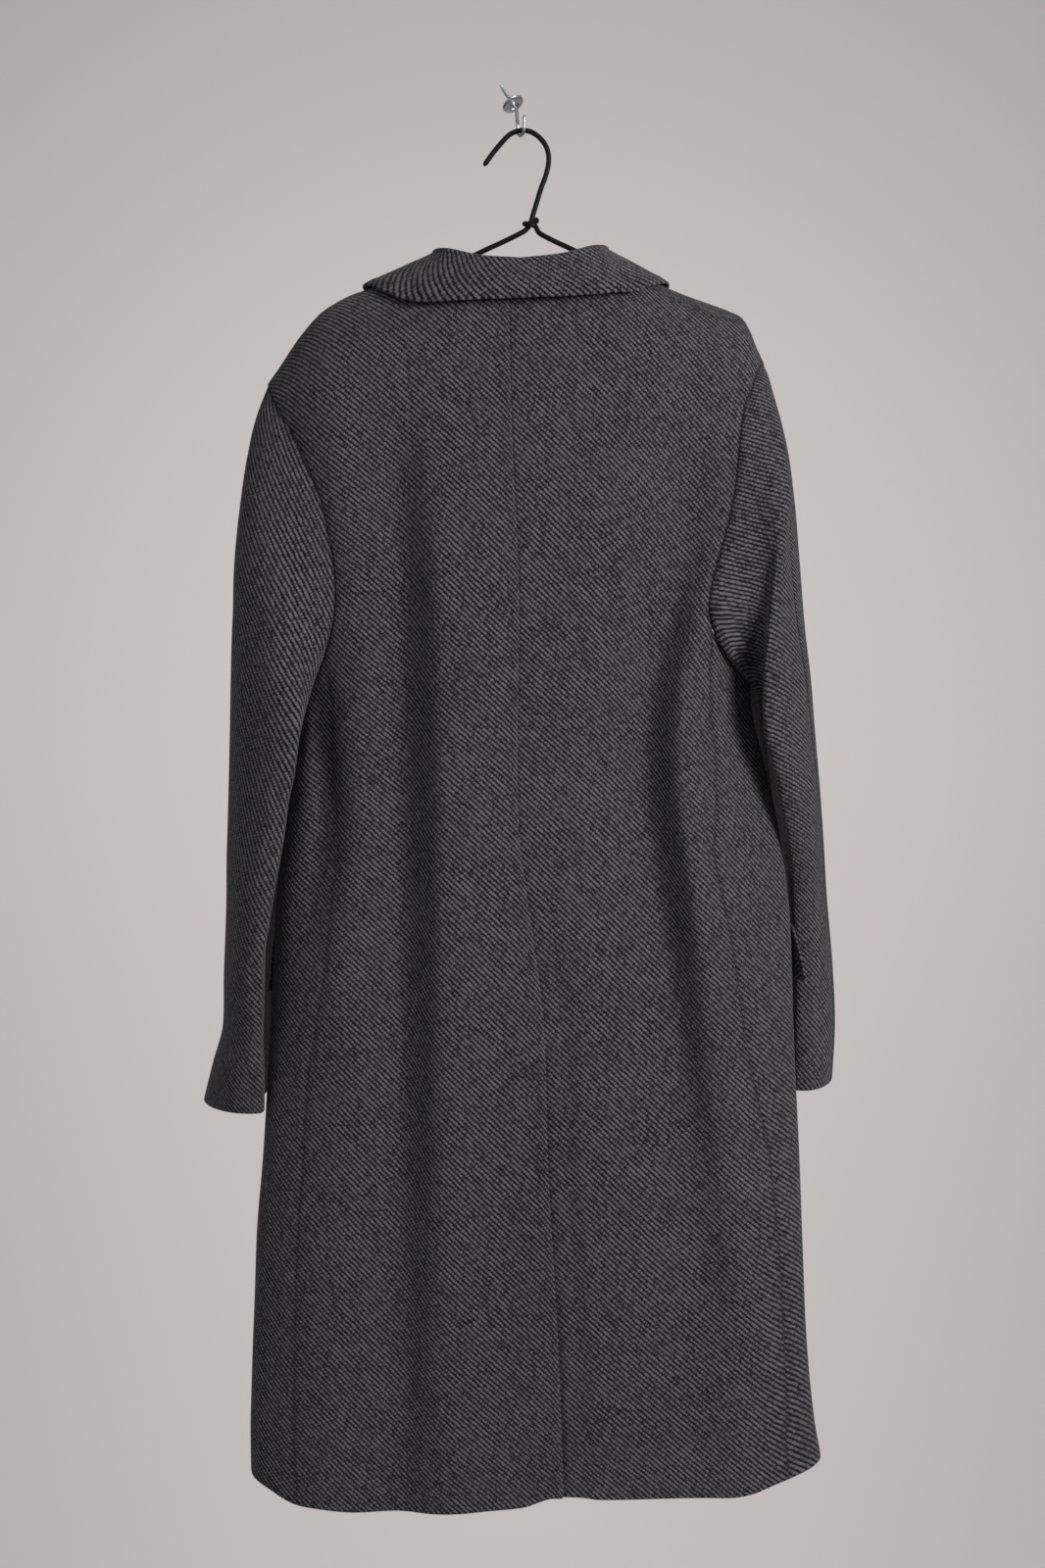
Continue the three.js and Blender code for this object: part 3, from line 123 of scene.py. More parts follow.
BODY = columns("z left right back front", [
    (-260, -245, 252, 69, 66), (-350, -224, 238, 73, 75), (-450, -203, 216, 75, 79),
    (-535, -192, 215, 75, 81), (-600, -199, 231, 75, 82), (-660, -209, 244, 75, 82),
    (-733, -217, 253, 74, 81), (-820, -222, 257, 73, 80), (-925, -228, 262, 72, 79),
    (-1027, -237, 267, 72, 78), (-1110, -241, 271, 71, 76), (-1200, -245, 280, 70, 75),
    (-1245, -245, 288, 69, 74),
])
LEFT_SIDE, RIGHT_SIDE = through(BODY["z"], BODY["left"]), through(BODY["z"], BODY["right"])
BACK_DEPTH, FRONT_DEPTH = through(BODY["z"], BODY["back"]), through(BODY["z"], BODY["front"])

RIDGE = columns("x z", [
    (-245, -275), (-233, -266), (-225, -256), (-219, -248), (-209, -234), (-195, -213), (-184, -199),
    (-171, -185.5), (-158, -177), (-144, -170), (-120, -162), (-95, -153), (-73, -145.5),
    (-40, -138), (7, -135), (55, -134.5), (87, -138.5), (110, -150), (134, -162.5), (156, -171.5),
    (176, -178.5), (195, -185.5), (205, -191), (212, -202), (218, -216), (224, -228), (230, -241),
    (236, -253), (243, -265), (252, -275),
])
HEM = columns("x z", [
    (-245, -1244), (-224, -1248), (-208, -1253), (-192, -1256), (-140, -1261), (-89, -1260), (-37, -1260),
    (9, -1258.5), (35, -1251.5), (92, -1252), (152, -1252), (195, -1251), (220, -1248), (239, -1243),
    (264, -1237), (288, -1233),
])
HEM_Z = -1250.0  # the level at which the hem's width is taken
ridge, hem = through(RIDGE["x"], RIDGE["z"]), through(HEM["x"], HEM["z"])

# The folds of the hanging cloth: where the fold's middle is at each level, how far it stands out
# (a trough is negative) and how wide its flanks are. The face is -1 for the back, 1 for the front.
FOLDS = {
    "left side roll": (-1, [
        (-230, -178, 2, 30, 30), (-300, -166, 6, 34, 28), (-430, -139, 6, 34, 28),
        (-590, -128, 6, 26, 24), (-710, -132, 6, 30, 26), (-780, -156, 4, 34, 36),
        (-900, -170, 1, 36, 36)]),
    "left trough": (-1, [
        (-240, -106, 0, 30, 26), (-346, -103, -7, 34, 24), (-450, -99, -12, 36, 22),
        (-657, -98, -13, 36, 22), (-870, -97, -12, 38, 24), (-1120, -98, -9, 40, 26),
        (-1262, -100, -6, 42, 28)]),
    "left of centre roll": (-1, [
        (-260, -72, 0, 22, 40), (-346, -68, 7, 22, 46), (-450, -64, 11, 20, 50),
        (-657, -62, 13, 19, 54), (-870, -66, 12, 21, 54), (-1120, -72, 9, 23, 54),
        (-1262, -76, 6, 26, 54)]),
    "right trough": (-1, [
        (-230, 160, 0, 40, 24), (-300, 152, -5, 46, 24), (-431, 141, -9, 48, 20),
        (-505, 124, -12, 50, 19), (-595, 118, -13, 50, 18), (-685, 129, -12, 50, 19),
        (-775, 141, -10, 50, 20), (-883, 152, -8, 50, 22), (-1000, 165, -6, 50, 24),
        (-1120, 174, -4, 50, 26)]),
    "right roll": (-1, [
        (-262, 205, 3, 22, 26), (-363, 192, 9, 22, 28), (-431, 174, 14, 19, 30),
        (-505, 153, 18, 18, 34), (-595, 148, 19, 18, 36), (-685, 159, 18, 18, 36),
        (-775, 171, 15, 20, 36), (-883, 183, 12, 22, 36), (-1000, 196, 8, 26, 36),
        (-1120, 205, 5, 30, 36)]),
    "left underarm hollow": (-1, [
        (-500, -172, 0, 12, 16), (-556, -170, -14, 12, 15), (-640, -168, -16, 14, 16),
        (-710, -178, -8, 16, 18), (-780, -190, 0, 18, 20)]),
    "right underarm hollow": (-1, [
        (-440, 196, 0, 12, 14), (-475, 200, -10, 14, 16), (-520, 207, -12, 14, 18),
        (-580, 214, -6, 16, 20), (-640, 222, 0, 18, 20)]),
    "left front roll": (1, [
        (-420, -100, 0, 40, 34), (-560, -92, 7, 40, 34), (-900, -96, 8, 42, 36),
        (-1240, -102, 9, 46, 38)]),
    "right front roll": (1, [
        (-420, 132, 0, 34, 40), (-560, 124, 7, 34, 40), (-900, 128, 8, 36, 42),
        (-1240, 136, 10, 38, 46)]),
    "right front trough": (1, [
        (-520, 80, 0, 26, 26), (-760, 78, -6, 26, 26), (-1240, 84, -7, 30, 30)]),
}
FOLD_CURVES = []
for fold_face, fold_rows in FOLDS.values():
    fold_table = columns("z x out left right", fold_rows)
    FOLD_CURVES.append((fold_face, *(through(fold_table["z"], fold_table[k]) for k in ("x", "out", "left", "right"))))


# ------------------------------------------------------------------ the shell
def middle(z):
    return (LEFT_SIDE(z) + RIGHT_SIDE(z)) / 2


def half(z):
    return (RIGHT_SIDE(z) - LEFT_SIDE(z)) / 2


def fold_out(x, z, depth):
    """How far all the folds move a point out, for depth from -1 at the back to 1 at the front."""
    out = 0
    for face, at_x, at_out, left, right in FOLD_CURVES:
        dx = x - at_x(z)
        width = np.where(dx < 0, left(z), right(z))
        out = out + np.where(face * depth > 0, at_out(z) * hump(dx, width), 0)
    return out * depth * FOLD_DEPTH


def section(phi):
    """The body's cross-section, across and in depth, between -1 and 1."""
    sin, cos = np.sin(np.radians(phi)), np.cos(np.radians(phi))
    r = (np.abs(sin) ** SQUARENESS + np.abs(cos) ** SQUARENESS) ** (-1 / SQUARENESS)
    return r * sin, -r * cos


def ridge_over(across):
    """The ridge's level over a point of the cross-section."""
    return ridge(SHOULDER_MID_X + SHOULDER_HALF * across)


def round_down(run):
    """How far below the ridge a run of cloth reaches."""
    angle = np.minimum(run / SHOULDER_ROUND, math.pi / 2)
    drop = SHOULDER_ROUND * (1 - np.cos(angle)) + np.maximum(run - SHOULDER_ROUND * math.pi / 2, 0)
    return angle, drop


def round_run(drop):
    """The run of cloth that reaches this far below the ridge."""
    near = SHOULDER_ROUND * np.arccos(np.clip(1 - drop / SHOULDER_ROUND, -1, 1))
    return np.where(drop < SHOULDER_ROUND, near, drop - SHOULDER_ROUND + SHOULDER_ROUND * math.pi / 2)


def shell(phi, s):
    phi, s = np.broadcast_arrays(np.asarray(phi, float), np.asarray(s, float))
    across, deep = section(phi)
    angle, drop = round_down(np.abs(s))
    z = ridge_over(across) - drop
    x = middle(z) + half(z) * across
    depth = deep * np.sin(angle) * np.sign(s)
    full = np.where(depth > 0, FRONT_DEPTH(z), BACK_DEPTH(z))
    yoke = mix(YOKE_THIN, 1, smooth(np.abs(s) / YOKE_DEEP))
    return np.stack([x, PLANE_Y + depth * full * yoke + fold_out(x, z, depth), z], -1)


def shell_normal(phi, s):
    d_phi = shell(phi + 0.3, s) - shell(phi - 0.3, s)
    d_s = shell(phi, s + 0.6) - shell(phi, s - 0.6)
    return unit(np.cross(d_s, d_phi))


def turn_of(across):
    """The angle at which the cross-section reaches this far across."""
    power = np.minimum(np.abs(across), 1 - 1e-9) ** SQUARENESS
    return np.degrees(np.arctan((power / (1 - power)) ** (1 / SQUARENESS)))


def locate(x, z, face):
    """Where a point of the back (face -1) or the front (face 1) lies on the shell."""
    x, z = np.broadcast_arrays(np.asarray(x, float), np.asarray(z, float))
    across = np.clip((x - middle(z)) / half(z), -1, 1)
    turn = turn_of(across)
    phi = np.where(across < 0, -1, 1) * (turn if face < 0 else 180 - turn)
    drop = np.maximum(ridge_over(across) - z, 0)
    return np.stack([phi, round_run(drop)], -1)


NEAR_PHI, NEAR_S = np.meshgrid(np.arange(-180, 180, 2.0), np.arange(0, 200, 3.0))
NEAR_POINTS = shell(NEAR_PHI, NEAR_S).reshape(-1, 3)


def clear_of(points, distance):
    """Moves points near the shoulders out until they are this far off the shell."""
    nearest = [np.argmin(((NEAR_POINTS - p) ** 2).sum(-1)) for p in points]
    phi, s = NEAR_PHI.ravel()[nearest], NEAR_S.ravel()[nearest]
    for _ in range(6):
        off = points - shell(phi, s)
        d_phi = shell(phi + 0.5, s) - shell(phi - 0.5, s)
        d_s = shell(phi, s + 0.5) - shell(phi, s - 0.5)
        a, b, c = (d_phi * d_phi).sum(-1), (d_phi * d_s).sum(-1), (d_s * d_s).sum(-1)
        det = a * c - b * b
        p, q = (off * d_phi).sum(-1), (off * d_s).sum(-1)
        phi = phi + np.clip((c * p - b * q) / det, -2, 2)
        s = s + np.clip((a * q - b * p) / det, -3, 3)
    normal = shell_normal(phi, s)
    gap = ((points - shell(phi, s)) * normal).sum(-1)
    return points + normal * np.maximum(distance - gap, 0)[..., None]


# ------------------------------------------------------------------ edges and seam lines
def edge(points, run_weight=1, crowd=0):
    """A smooth curve through points of the shell; crowd gathers its samples at the start or the end."""
    points = np.asarray(points, float)
    step = np.diff(points, axis=0) * [3.2, run_weight]
    keys = np.concatenate([[0], np.cumsum(np.hypot(step[:, 0], step[:, 1]))])
    curves = [through(keys / keys[-1], points[:, k]) for k in (0, 1)]
    power = 1 + abs(crowd)

    def at(t):
        t = np.asarray(t, float)
        t = 1 - (1 - t) ** power if crowd < 0 else t ** power
        return np.stack([curve(t) for curve in curves], -1)

    return at


def joined(*parts):
    """One border made of (curve, count of rows) parts."""
    total = sum(count for _, count in parts)

    def at(v):
        v = np.asarray(v, float) * total
        out = np.zeros(v.shape + (2,))
        start = 0
        for curve, count in parts:
            here = (v >= start - 1e-9) & (v <= start + count + 1e-9)
            out[here] = curve(np.clip((v[here] - start) / count, 0, 1))
            start += count
        return out

    at.rows = total
    return at


def backwards(curve):
    return lambda t: curve(1 - np.asarray(t, float))


CENTRE_BACK = columns("x z", [
    (-3, -178), (0, -300), (6, -431), (6, -637), (19, -741), (28, -820), (32, -953), (41, -1114), (46, -1257),
])
centre_back = through(CENTRE_BACK["z"], CENTRE_BACK["x"])
SHOULDER = {
    "left": columns("x behind", [(-75, 10), (-120, 9), (-170, 8), (-205, 8), (-220, 7)]),
    "right": columns("x behind", [(89, 20), (120, 32), (156, 38), (190, 36), (212, 20), (226, 8)]),
}
BACK_NECK = {
    "left": columns("x z", [(-3, -178), (-26, -177), (-48, -172), (-64, -161)]),
    "right": columns("x z", [(-3, -178), (20, -177), (48, -172.5), (70, -164)]),
}
ARMHOLE_BACK = {
    "left": columns("x z", [(-206, -276), (-194, -294), (-180, -323), (-168, -353), (-157, -406),
                            (-155, -442), (-158, -466), (-167, -495)]),
    "right": columns("x z", [(211, -254), (203, -274), (199, -303), (194, -351), (185, -389), (177, -418),
                             (172, -449), (176, -470)]),
}
UNDERARM_Z = {"left": -535, "right": -466}
ARMHOLE_FRONT = {
    "left": columns("x z", [(-163, -500), (-151, -460), (-148, -410), (-155, -360), (-172, -312), (-198, -276)]),
    "right": columns("x z", [(181, -462), (168, -425), (164, -378), (170, -332), (186, -287), (208, -253)]),
}
BACK_SIDE_SEAM = {
    "left": columns("x z", [(-167, -495), (-160, -570), (-156, -667), (-160, -693), (-170, -782), (-184, -871),
                            (-194, -1006), (-199, -1143), (-198, -1266)]),
    "right": columns("x z", [(176, -470), (177, -560), (177, -658), (181, -684), (195, -746), (209, -835),
                             (218, -880), (233, -946), (248, -1117), (253, -1244)]),
}
FRONT_SEAM_TURN = 114
NECK_HALF, GORGE_HALF, GORGE_Z, ROLL_END_Z = 80, 60, -204, -470
ARMHOLE_CROWD = 0.4
NECK_ROWS, SHOULDER_ROWS, ARMHOLE_ROWS, UNDERARM_ROWS, SIDE_ROWS, FRONT_NECK_ROWS = 5, 10, 9, 6, 20, 5


def hem_at(phi):
    """The point of the hem at an angle."""
    across, _ = section(phi)
    x = middle(HEM_Z) + half(HEM_Z) * across
    return np.stack([phi, round_run(ridge_over(across) - hem(x))], -1)


def hem_between(a, b):
    return lambda t: hem_at(mix(a[0], b[0], np.asarray(t, float)))


def front_edge(sign, z):
    return NECK_X + mix(0, 14, smooth((ROLL_END_Z - np.asarray(z, float)) / 700)) - sign * FRONT_LAP


def unwrap(sign, points):
    """The fronts pass the centre front, so their angle may go past 180 on their own side."""
    points = np.array(points, float)
    points[..., 0] += np.where(sign * points[..., 0] < 0, sign * 360, 0)
    return points


def table_points(table, face):
    return locate(table["x"], table["z"], face)


def seams(side):
    """The borders of one side's panels as curves of shell points."""
    sign = SIDES[side]
    shoulder = np.stack([sign * turn_of((SHOULDER[side]["x"] - SHOULDER_MID_X) / SHOULDER_HALF),
                         SHOULDER[side]["behind"]], -1)
    over = np.stack([sign * 180 - shoulder[:, 0], -shoulder[:, 1]], -1)
    back_neck = table_points(BACK_NECK[side], -1)
    hole_back, hole_front = table_points(ARMHOLE_BACK[side], -1), table_points(ARMHOLE_FRONT[side], 1)
    side_back = table_points(BACK_SIDE_SEAM[side], -1)
    under = [sign * 90, float(round_run(ridge(sign * 400) - UNDERARM_Z[side]))]
    low = hem_at(np.float64(sign * FRONT_SEAM_TURN))
    between = [mix(hole_front[0, 0], low[0], 0.6), mix(hole_front[0, 1], low[1], 0.5)]
    t = np.array([0.35, 0.7, 1])
    front_neck = locate(NECK_X + sign * mix(NECK_HALF, GORGE_HALF, t * t), mix(-152, GORGE_Z, t), 1)
    lap, gorge = NECK_X - sign * FRONT_LAP, NECK_X + sign * GORGE_HALF
    t = np.array([0, 0.33, 0.66, 1])
    z = np.array([-600.0, -800, -1000, -1150])
    end_x = front_edge(sign, -1256)
    front = np.concatenate([
        locate(mix(gorge, lap, t), mix(GORGE_Z, ROLL_END_Z, t), 1), locate(front_edge(sign, z), z, 1),
        locate(end_x, hem(end_x), 1)[None]])
    return {
        "sign": sign,
        "neck": edge(np.concatenate([back_neck, shoulder[:1]]), run_weight=0.4),
        "shoulder": edge(shoulder),
        "shoulder_front": edge(over),
        "armhole_back": edge(np.concatenate([shoulder[-1:], hole_back]), crowd=ARMHOLE_CROWD),
        "underarm": edge([side_back[0], under, hole_front[0]]),
        "armhole_front": edge(np.concatenate([hole_front, over[-1:]]), crowd=-ARMHOLE_CROWD),
        "back_side": edge(side_back),
        "front_side": edge([hole_front[0], between, low]),
        "neck_front": edge(np.concatenate([over[:1], front_neck]), crowd=0.2),
        "front": edge(unwrap(sign, front)),
    }


SEAMS = {side: seams(side) for side in SIDES}


def broad(values):
    """The broad run of an edge, without its short turns."""
    now = np.array(values, float)
    for _ in range(16):
        now[1:-1] = (now[:-2] + 2 * now[1:-1] + now[2:]) / 4
    return now


def patch(top, bottom, first, last, u, v):
    """Shell points between four borders; the short turns of a border fade near it."""
    def split(border, rows, t):
        keys = np.linspace(0, 1, rows + 1)
        run = broad(border(keys))
        run = np.stack([through(keys, run[:, k])(t) for k in (0, 1)], -1)
        return run, border(t) - run

    first_run, first_turn = split(first, first.rows, v)
    last_run, last_turn = split(last, first.rows, v)
    top_run, top_turn = split(top, top.rows, u)
    bottom_run, bottom_turn = split(bottom, top.rows, u)
    u, v = u[None, :, None], v[:, None, None]
    across = mix(first_run[:, None], last_run[:, None], u)
    across = across + first_turn[:, None] * (1 - u) ** 4 + last_turn[:, None] * u ** 4
    down = mix(top_run[None], bottom_run[None], v) + top_turn[None] * (1 - v) ** 4 + bottom_turn[None] * v ** 4
    corners = mix(mix(top(0.0), top(1.0), u), mix(bottom(0.0), bottom(1.0), u), v)
    return across + down - corners


NEAR_BORDER = np.array([0.7, 1.8, 3.4])  # where the closer samples beside a border are


def samples(count, length):
    """Even samples with closer ones beside both ends; length is the run's length in millimetres."""
    near = NEAR_BORDER / length
    inner = np.linspace(0, 1, count + 1)[1:-1]
    inner = inner[(inner > near[-1] * 1.4) & (inner < 1 - near[-1] * 1.4)]
    return np.concatenate([[0], near, inner, 1 - near[::-1], [1]])


# ------------------------------------------------------------------ the run of the twill
# How steeply the twill falls to the right, in degrees, level by level round the body.
TWILL_TURNS = [-180, -120, -90, -60, -45, -30, -15, 0, 15, 30, 45, 60, 90, 120, 180]
TWILL_BODY = {
    -190: [45, 42, 30, 28, 30, 38, 42, 44, 46, 50, 52, 50, 45, 45, 45],
    -350: [45, 42, 32, 30, 32, 40, 43, 44, 47, 51, 52, 50, 45, 45, 45],
    -460: [45, 44, 40, 38, 39, 43, 44, 44, 47, 50, 50, 46, 40, 44, 45],
    -600: [45, 46, 46, 45, 45, 45, 44, 44, 46, 47, 45, 42, 36, 42, 45],
    -810: [45, 47, 50, 50, 50, 49, 46, 44, 44, 44, 42, 36, 30, 40, 45],
    -1080: [45, 47, 51, 51, 51, 50, 47, 44, 43, 42, 40, 33, 29, 40, 45],
    -1270: [45, 47, 51, 51, 51, 50, 47, 44, 43, 42, 40, 34, 30, 40, 45],
}
TWILL_SLEEVE = {
    "left": through([-270, -340, -414, -680, -813, -902], [52, 58, 62, 62, 44, 37]),
    "right": through([-260, -352, -423, -494, -583, -707, -866], [18, 20, 23, 30, 36, 40, 47]),
}


def twill_angle(phi, z):
    """How steeply the twill falls, in radians, from the table."""
    levels = np.array(sorted(TWILL_BODY))
    by_level = np.stack([np.interp(phi, TWILL_TURNS, TWILL_BODY[level]) for level in levels])
    z = np.clip(z, levels[0], levels[-1])
    i = np.clip(np.searchsorted(levels, z, side="right") - 1, 0, len(levels) - 2)
    t = (z - levels[i]) / (levels[i + 1] - levels[i])
    low = np.take_along_axis(by_level, i[None], 0)[0]
    high = np.take_along_axis(by_level, i[None] + 1, 0)[0]
    return np.radians(mix(low, high, t))


def run_twill(points, angle, way, start):
    """Distances across and along the twill's lines over a grid of rows that go down and columns that
    go round. way is 1 where the columns go round to the right; start is the column they start from."""
    step = np.diff(points, axis=1)
    level = np.linalg.norm(step[..., :2], axis=-1)
    fall = -step[..., 2]
    theta = (angle[:, 1:] + angle[:, :-1]) / 2
    across = np.cumsum(-way * np.sin(theta) * level + np.cos(theta) * fall, axis=1)
    along = np.cumsum(way * np.cos(theta) * level + np.sin(theta) * fall, axis=1)
    across, along = (np.pad(a, ((0, 0), (1, 0))) for a in (across, along))
    down = np.linalg.norm(np.diff(points[:, start], axis=0), axis=-1)
    theta = (angle[1:, start] + angle[:-1, start]) / 2
    across += np.pad(np.cumsum(np.cos(theta) * down), (1, 0))[:, None] - across[:, start:start + 1]
    along += np.pad(np.cumsum(np.sin(theta) * down), (1, 0))[:, None] - along[:, start:start + 1]
    return np.stack([across, along], -1)


def spread(want_row, want_col, weight_row, weight_col):
    """The smooth field over a grid whose steps along rows and columns come nearest to the wanted ones."""
    def gather(row, col):
        out = np.zeros((row.shape[0], row.shape[1] + 1))
        out[:, 1:] += row
        out[:, :-1] -= row
        out[1:] += col
        out[:-1] -= col
        return out

    field = np.zeros((want_row.shape[0], want_row.shape[1] + 1))
    rest = gather(weight_row * want_row, weight_col * want_col)
    way = rest.copy()
    size = (rest * rest).sum()
    first = size
    for _ in range(2500):
        pull = gather(weight_row * np.diff(way, axis=1), weight_col * np.diff(way, axis=0))
        step = size / (way * pull).sum()
        field += step * way
        rest -= step * pull
        now = (rest * rest).sum()
        if now < first * 1e-10:
            break
        way = rest + way * now / size
        size = now
    return field


def fit_twill(points, normals, angle):
    """Distances across and along the twill's lines, which fall to the right by this angle."""
    down = unit(np.array([0, 0, -1.0]) + normals * normals[..., 2:])
    right = np.cross(normals, down)
    cos, sin = np.cos(angle)[..., None], np.sin(angle)[..., None]
    fields = []
    for target in (cos * down - sin * right, cos * right + sin * down):
        row, col = np.diff(points, axis=1), np.diff(points, axis=0)
        want_row = ((target[:, 1:] + target[:, :-1]) / 2 * row).sum(-1)
        want_col = ((target[1:] + target[:-1]) / 2 * col).sum(-1)
        long_row = np.maximum(np.linalg.norm(row, axis=-1), 0.05)
        long_col = np.maximum(np.linalg.norm(col, axis=-1), 0.05)
        across = (long_row.mean() / long_row) * (long_col.mean() / long_row.mean())
        down_weight = (long_col.mean() / long_col) * (long_row.mean() / long_col.mean())
        fields.append(spread(want_row, want_col, across, down_weight))
    return np.stack(fields, -1)


TWILL_STEP = 8.0
TWILL_PHI, TWILL_S = np.arange(-204, 205, 1.0), np.arange(-60, 1232, TWILL_STEP)


def body_twill():
    phi, s = np.meshgrid(TWILL_PHI, TWILL_S)
    points = shell(phi, s)
    return run_twill(points, twill_angle(np.clip(phi, -180, 180), points[..., 2]), 1, len(TWILL_PHI) // 2)


BODY_TWILL = body_twill()


def twill_at(phi, s):
    """The body's twill at points of the shell."""
    i = np.clip((s - TWILL_S[0]) / TWILL_STEP, 0, len(TWILL_S) - 1.001)
    j = np.clip(phi - TWILL_PHI[0], 0, len(TWILL_PHI) - 1.001)
    a, b = i.astype(int), j.astype(int)
    p, q = (i - a)[..., None], (j - b)[..., None]
    upper = mix(BODY_TWILL[a, b], BODY_TWILL[a, b + 1], q)
    lower = mix(BODY_TWILL[a + 1, b], BODY_TWILL[a + 1, b + 1], q)
    return mix(upper, lower, p)


# ------------------------------------------------------------------ meshes
def lengths(points, axis):
    """Distance along the grid from its first line, at every point."""
    step = np.linalg.norm(np.diff(points, axis=axis), axis=-1)
    pad = ((1, 0), (0, 0)) if axis == 0 else ((0, 0), (1, 0))
    return np.pad(np.cumsum(step, axis=axis), pad)


def border_distance(points):
    down, across = lengths(points, 0), lengths(points, 1)
    return {"top": down, "bottom": down[-1:] - down, "first": across, "last": across[:, -1:] - across}


def grid_normals(points, outward):
    normal = unit(np.cross(np.gradient(points, axis=0), np.gradient(points, axis=1)))
    return normal * np.sign((normal * outward).sum())


def cloth_piece(name, outer, inner, twill, seam, free):
    """A wall of cloth between two grids. free names its unsewn borders, whose rims are rounded."""
    rows, cols = outer.shape[:2]
    index = np.arange(rows * cols).reshape(rows, cols)
    ring = np.concatenate([index[0, :-1], index[:-1, -1], index[-1, :0:-1], index[:0:-1, 0]])
    sides = np.repeat(["top", "last", "bottom", "first"], [cols - 1, rows - 1, cols - 1, rows - 1])
    flat_outer, flat_inner = outer.reshape(-1, 3), inner.reshape(-1, 3)
    thick = np.linalg.norm(flat_outer - flat_inner, axis=-1)[ring]
    away = np.zeros_like(flat_outer)
    for side, (a, b) in {"top": (index[0], index[1]), "bottom": (index[-1], index[-2]),
                         "first": (index[:, 0], index[:, 1]), "last": (index[:, -1], index[:, -2])}.items():
        away[a] += unit(flat_outer[a] - flat_outer[b])
    bulge = np.array([0.42 if side in free else 0.1 for side in sides])
    rim = (flat_outer[ring] + flat_inner[ring]) / 2 + unit(away[ring]) * (thick * bulge)[:, None]
    points = np.concatenate([flat_outer, flat_inner, rim]) * MM
    a, b, c, d = index[:-1, :-1], index[:-1, 1:], index[1:, 1:], index[1:, :-1]
    quads = np.stack([a, b, c, d], -1).reshape(-1, 4)
    total = rows * cols
    after = np.roll(ring, -1)
    order = np.arange(len(ring))
    rims = 2 * total + order, 2 * total + np.roll(order, -1)
    faces = np.concatenate([
        quads, quads[:, ::-1] + total, np.stack([after, ring, rims[0], rims[1]], -1),
        np.stack([rims[1], rims[0], ring + total, after + total], -1)])
    start = flat_outer[quads[:, 0]]
    normal = np.cross(flat_outer[quads[:, 1]] - start, flat_outer[quads[:, 2]] - start)
    if (normal * (flat_outer - flat_inner)[quads[:, 0]]).sum() < 0:
        faces = faces[:, ::-1]
    mesh = bpy.data.meshes.new(name)
    mesh.from_pydata(points.tolist(), [], faces.tolist())
    mesh.polygons.foreach_set("use_smooth", np.ones(len(faces), bool))
    twill = twill.reshape(-1, 2)
    both = np.concatenate([twill, twill, twill[ring]]) * MM
    layer = mesh.uv_layers.new(name="twill")
    layer.data.foreach_set("uv", both[faces.ravel()].ravel())
    seam = seam.ravel()
    # This attribute carries the mask of painted shade along seams and joins.
    line = mesh.attributes.new("seam", "FLOAT", "POINT")
    line.data.foreach_set("value", np.concatenate([seam, seam * 0, seam[ring]]))
    mesh.validate()
    mesh.update()
    piece = bpy.data.objects.new(name, mesh)
    bpy.context.scene.collection.objects.link(piece)
    return piece


def finish_cloth(piece, node, outer):
    """Gives a cloth piece its material and its place in the frame, and hides the matching part; the area of its cut
    is worked out but not kept.
    """
    piece.data.materials.append(wool_material())
    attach(piece, "root")
    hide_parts(node)
    a, b, c, d = outer[:-1, :-1], outer[:-1, 1:], outer[1:, 1:], outer[1:, :-1]
    area = np.linalg.norm(np.cross(c - a, d - b), axis=-1).sum() / 2 * MM * MM


def settings():
    return bpy.context.scene.coat_settings


def press_seams(points, normals, sewn, free):
    """Sinks the cloth along sewn seams and thins its free edges a little. Returns the points and a mask of painted
    shade along the seams.
    """
    distance = border_distance(points)
    seam = np.zeros(points.shape[:2])
    sink = np.zeros(points.shape[:2])
    for side, depth in sewn.items():
        seam = np.maximum(seam, hump(distance[side], SEAM_SHADE_HALF_WIDTH))
        sink = np.maximum(sink, depth * hump(distance[side], 5.0))
    for side in free:
        sink = np.maximum(sink, 0.25 * hump(distance[side], 2.0))
    return points - normals * sink[..., None], seam


def draw_back(points, distance):
    """Draws sewn borders back by half the seam's gap."""
    out = points.copy()
    for side in distance:
        a, b = {"top": ((0, slice(None)), (1, slice(None))), "bottom": ((-1, slice(None)), (-2, slice(None))),
                "first": ((slice(None), 0), (slice(None), 1)), "last": ((slice(None), -1), (slice(None), -2))}[side]
        out[a] += unit(points[b] - points[a]) * HALF_GAP
    return out


# ------------------------------------------------------------------ body panels
def relief(points):
    """The cloth's own slight unevenness, in millimetres."""
    x, z = points[..., 0], points[..., 2]
    long_waves = 0.7 * np.sin(x / 19 + 1.6 * np.sin(z / 150 + 0.4)) * np.sin(z / 210 + 0.9)
    short_waves = 0.35 * np.sin(x / 9.5 + z / 61 + 1.5 * np.sin(z / 83)) * np.sin(z / 47 + x / 70)
    return (long_waves + short_waves) * smooth((-190 - z) / 90)


def vent_edge(sign, z):
    """Where a back ends at the centre; below the vent's top the right one passes under the left."""
    lap = -VENT_LAP * smooth((VENT_TOP_Z - z) / 45) if sign > 0 else 0
    return centre_back(z) + lap


def vent_shift(sign, p):
    """How far the right back sinks where it lies under the left one."""
    if sign < 0:
        return np.zeros(p.shape[:-1])
    under = smooth((centre_back(p[..., 2]) + 32 - p[..., 0]) / 16) * smooth((VENT_TOP_Z + 75 - p[..., 2]) / 40)
    return -(CLOTH + VENT_CLEARANCE) * under


def lap_shift(sign, p):
    """How far the left front stands off where it lies on the right one."""
    if sign > 0:
        return np.zeros(p.shape[:-1])
    return (CLOTH + FRONT_CLEARANCE) * smooth((p[..., 0] - (NECK_X - 85)) / 30) * smooth((-290 - p[..., 2]) / 45)


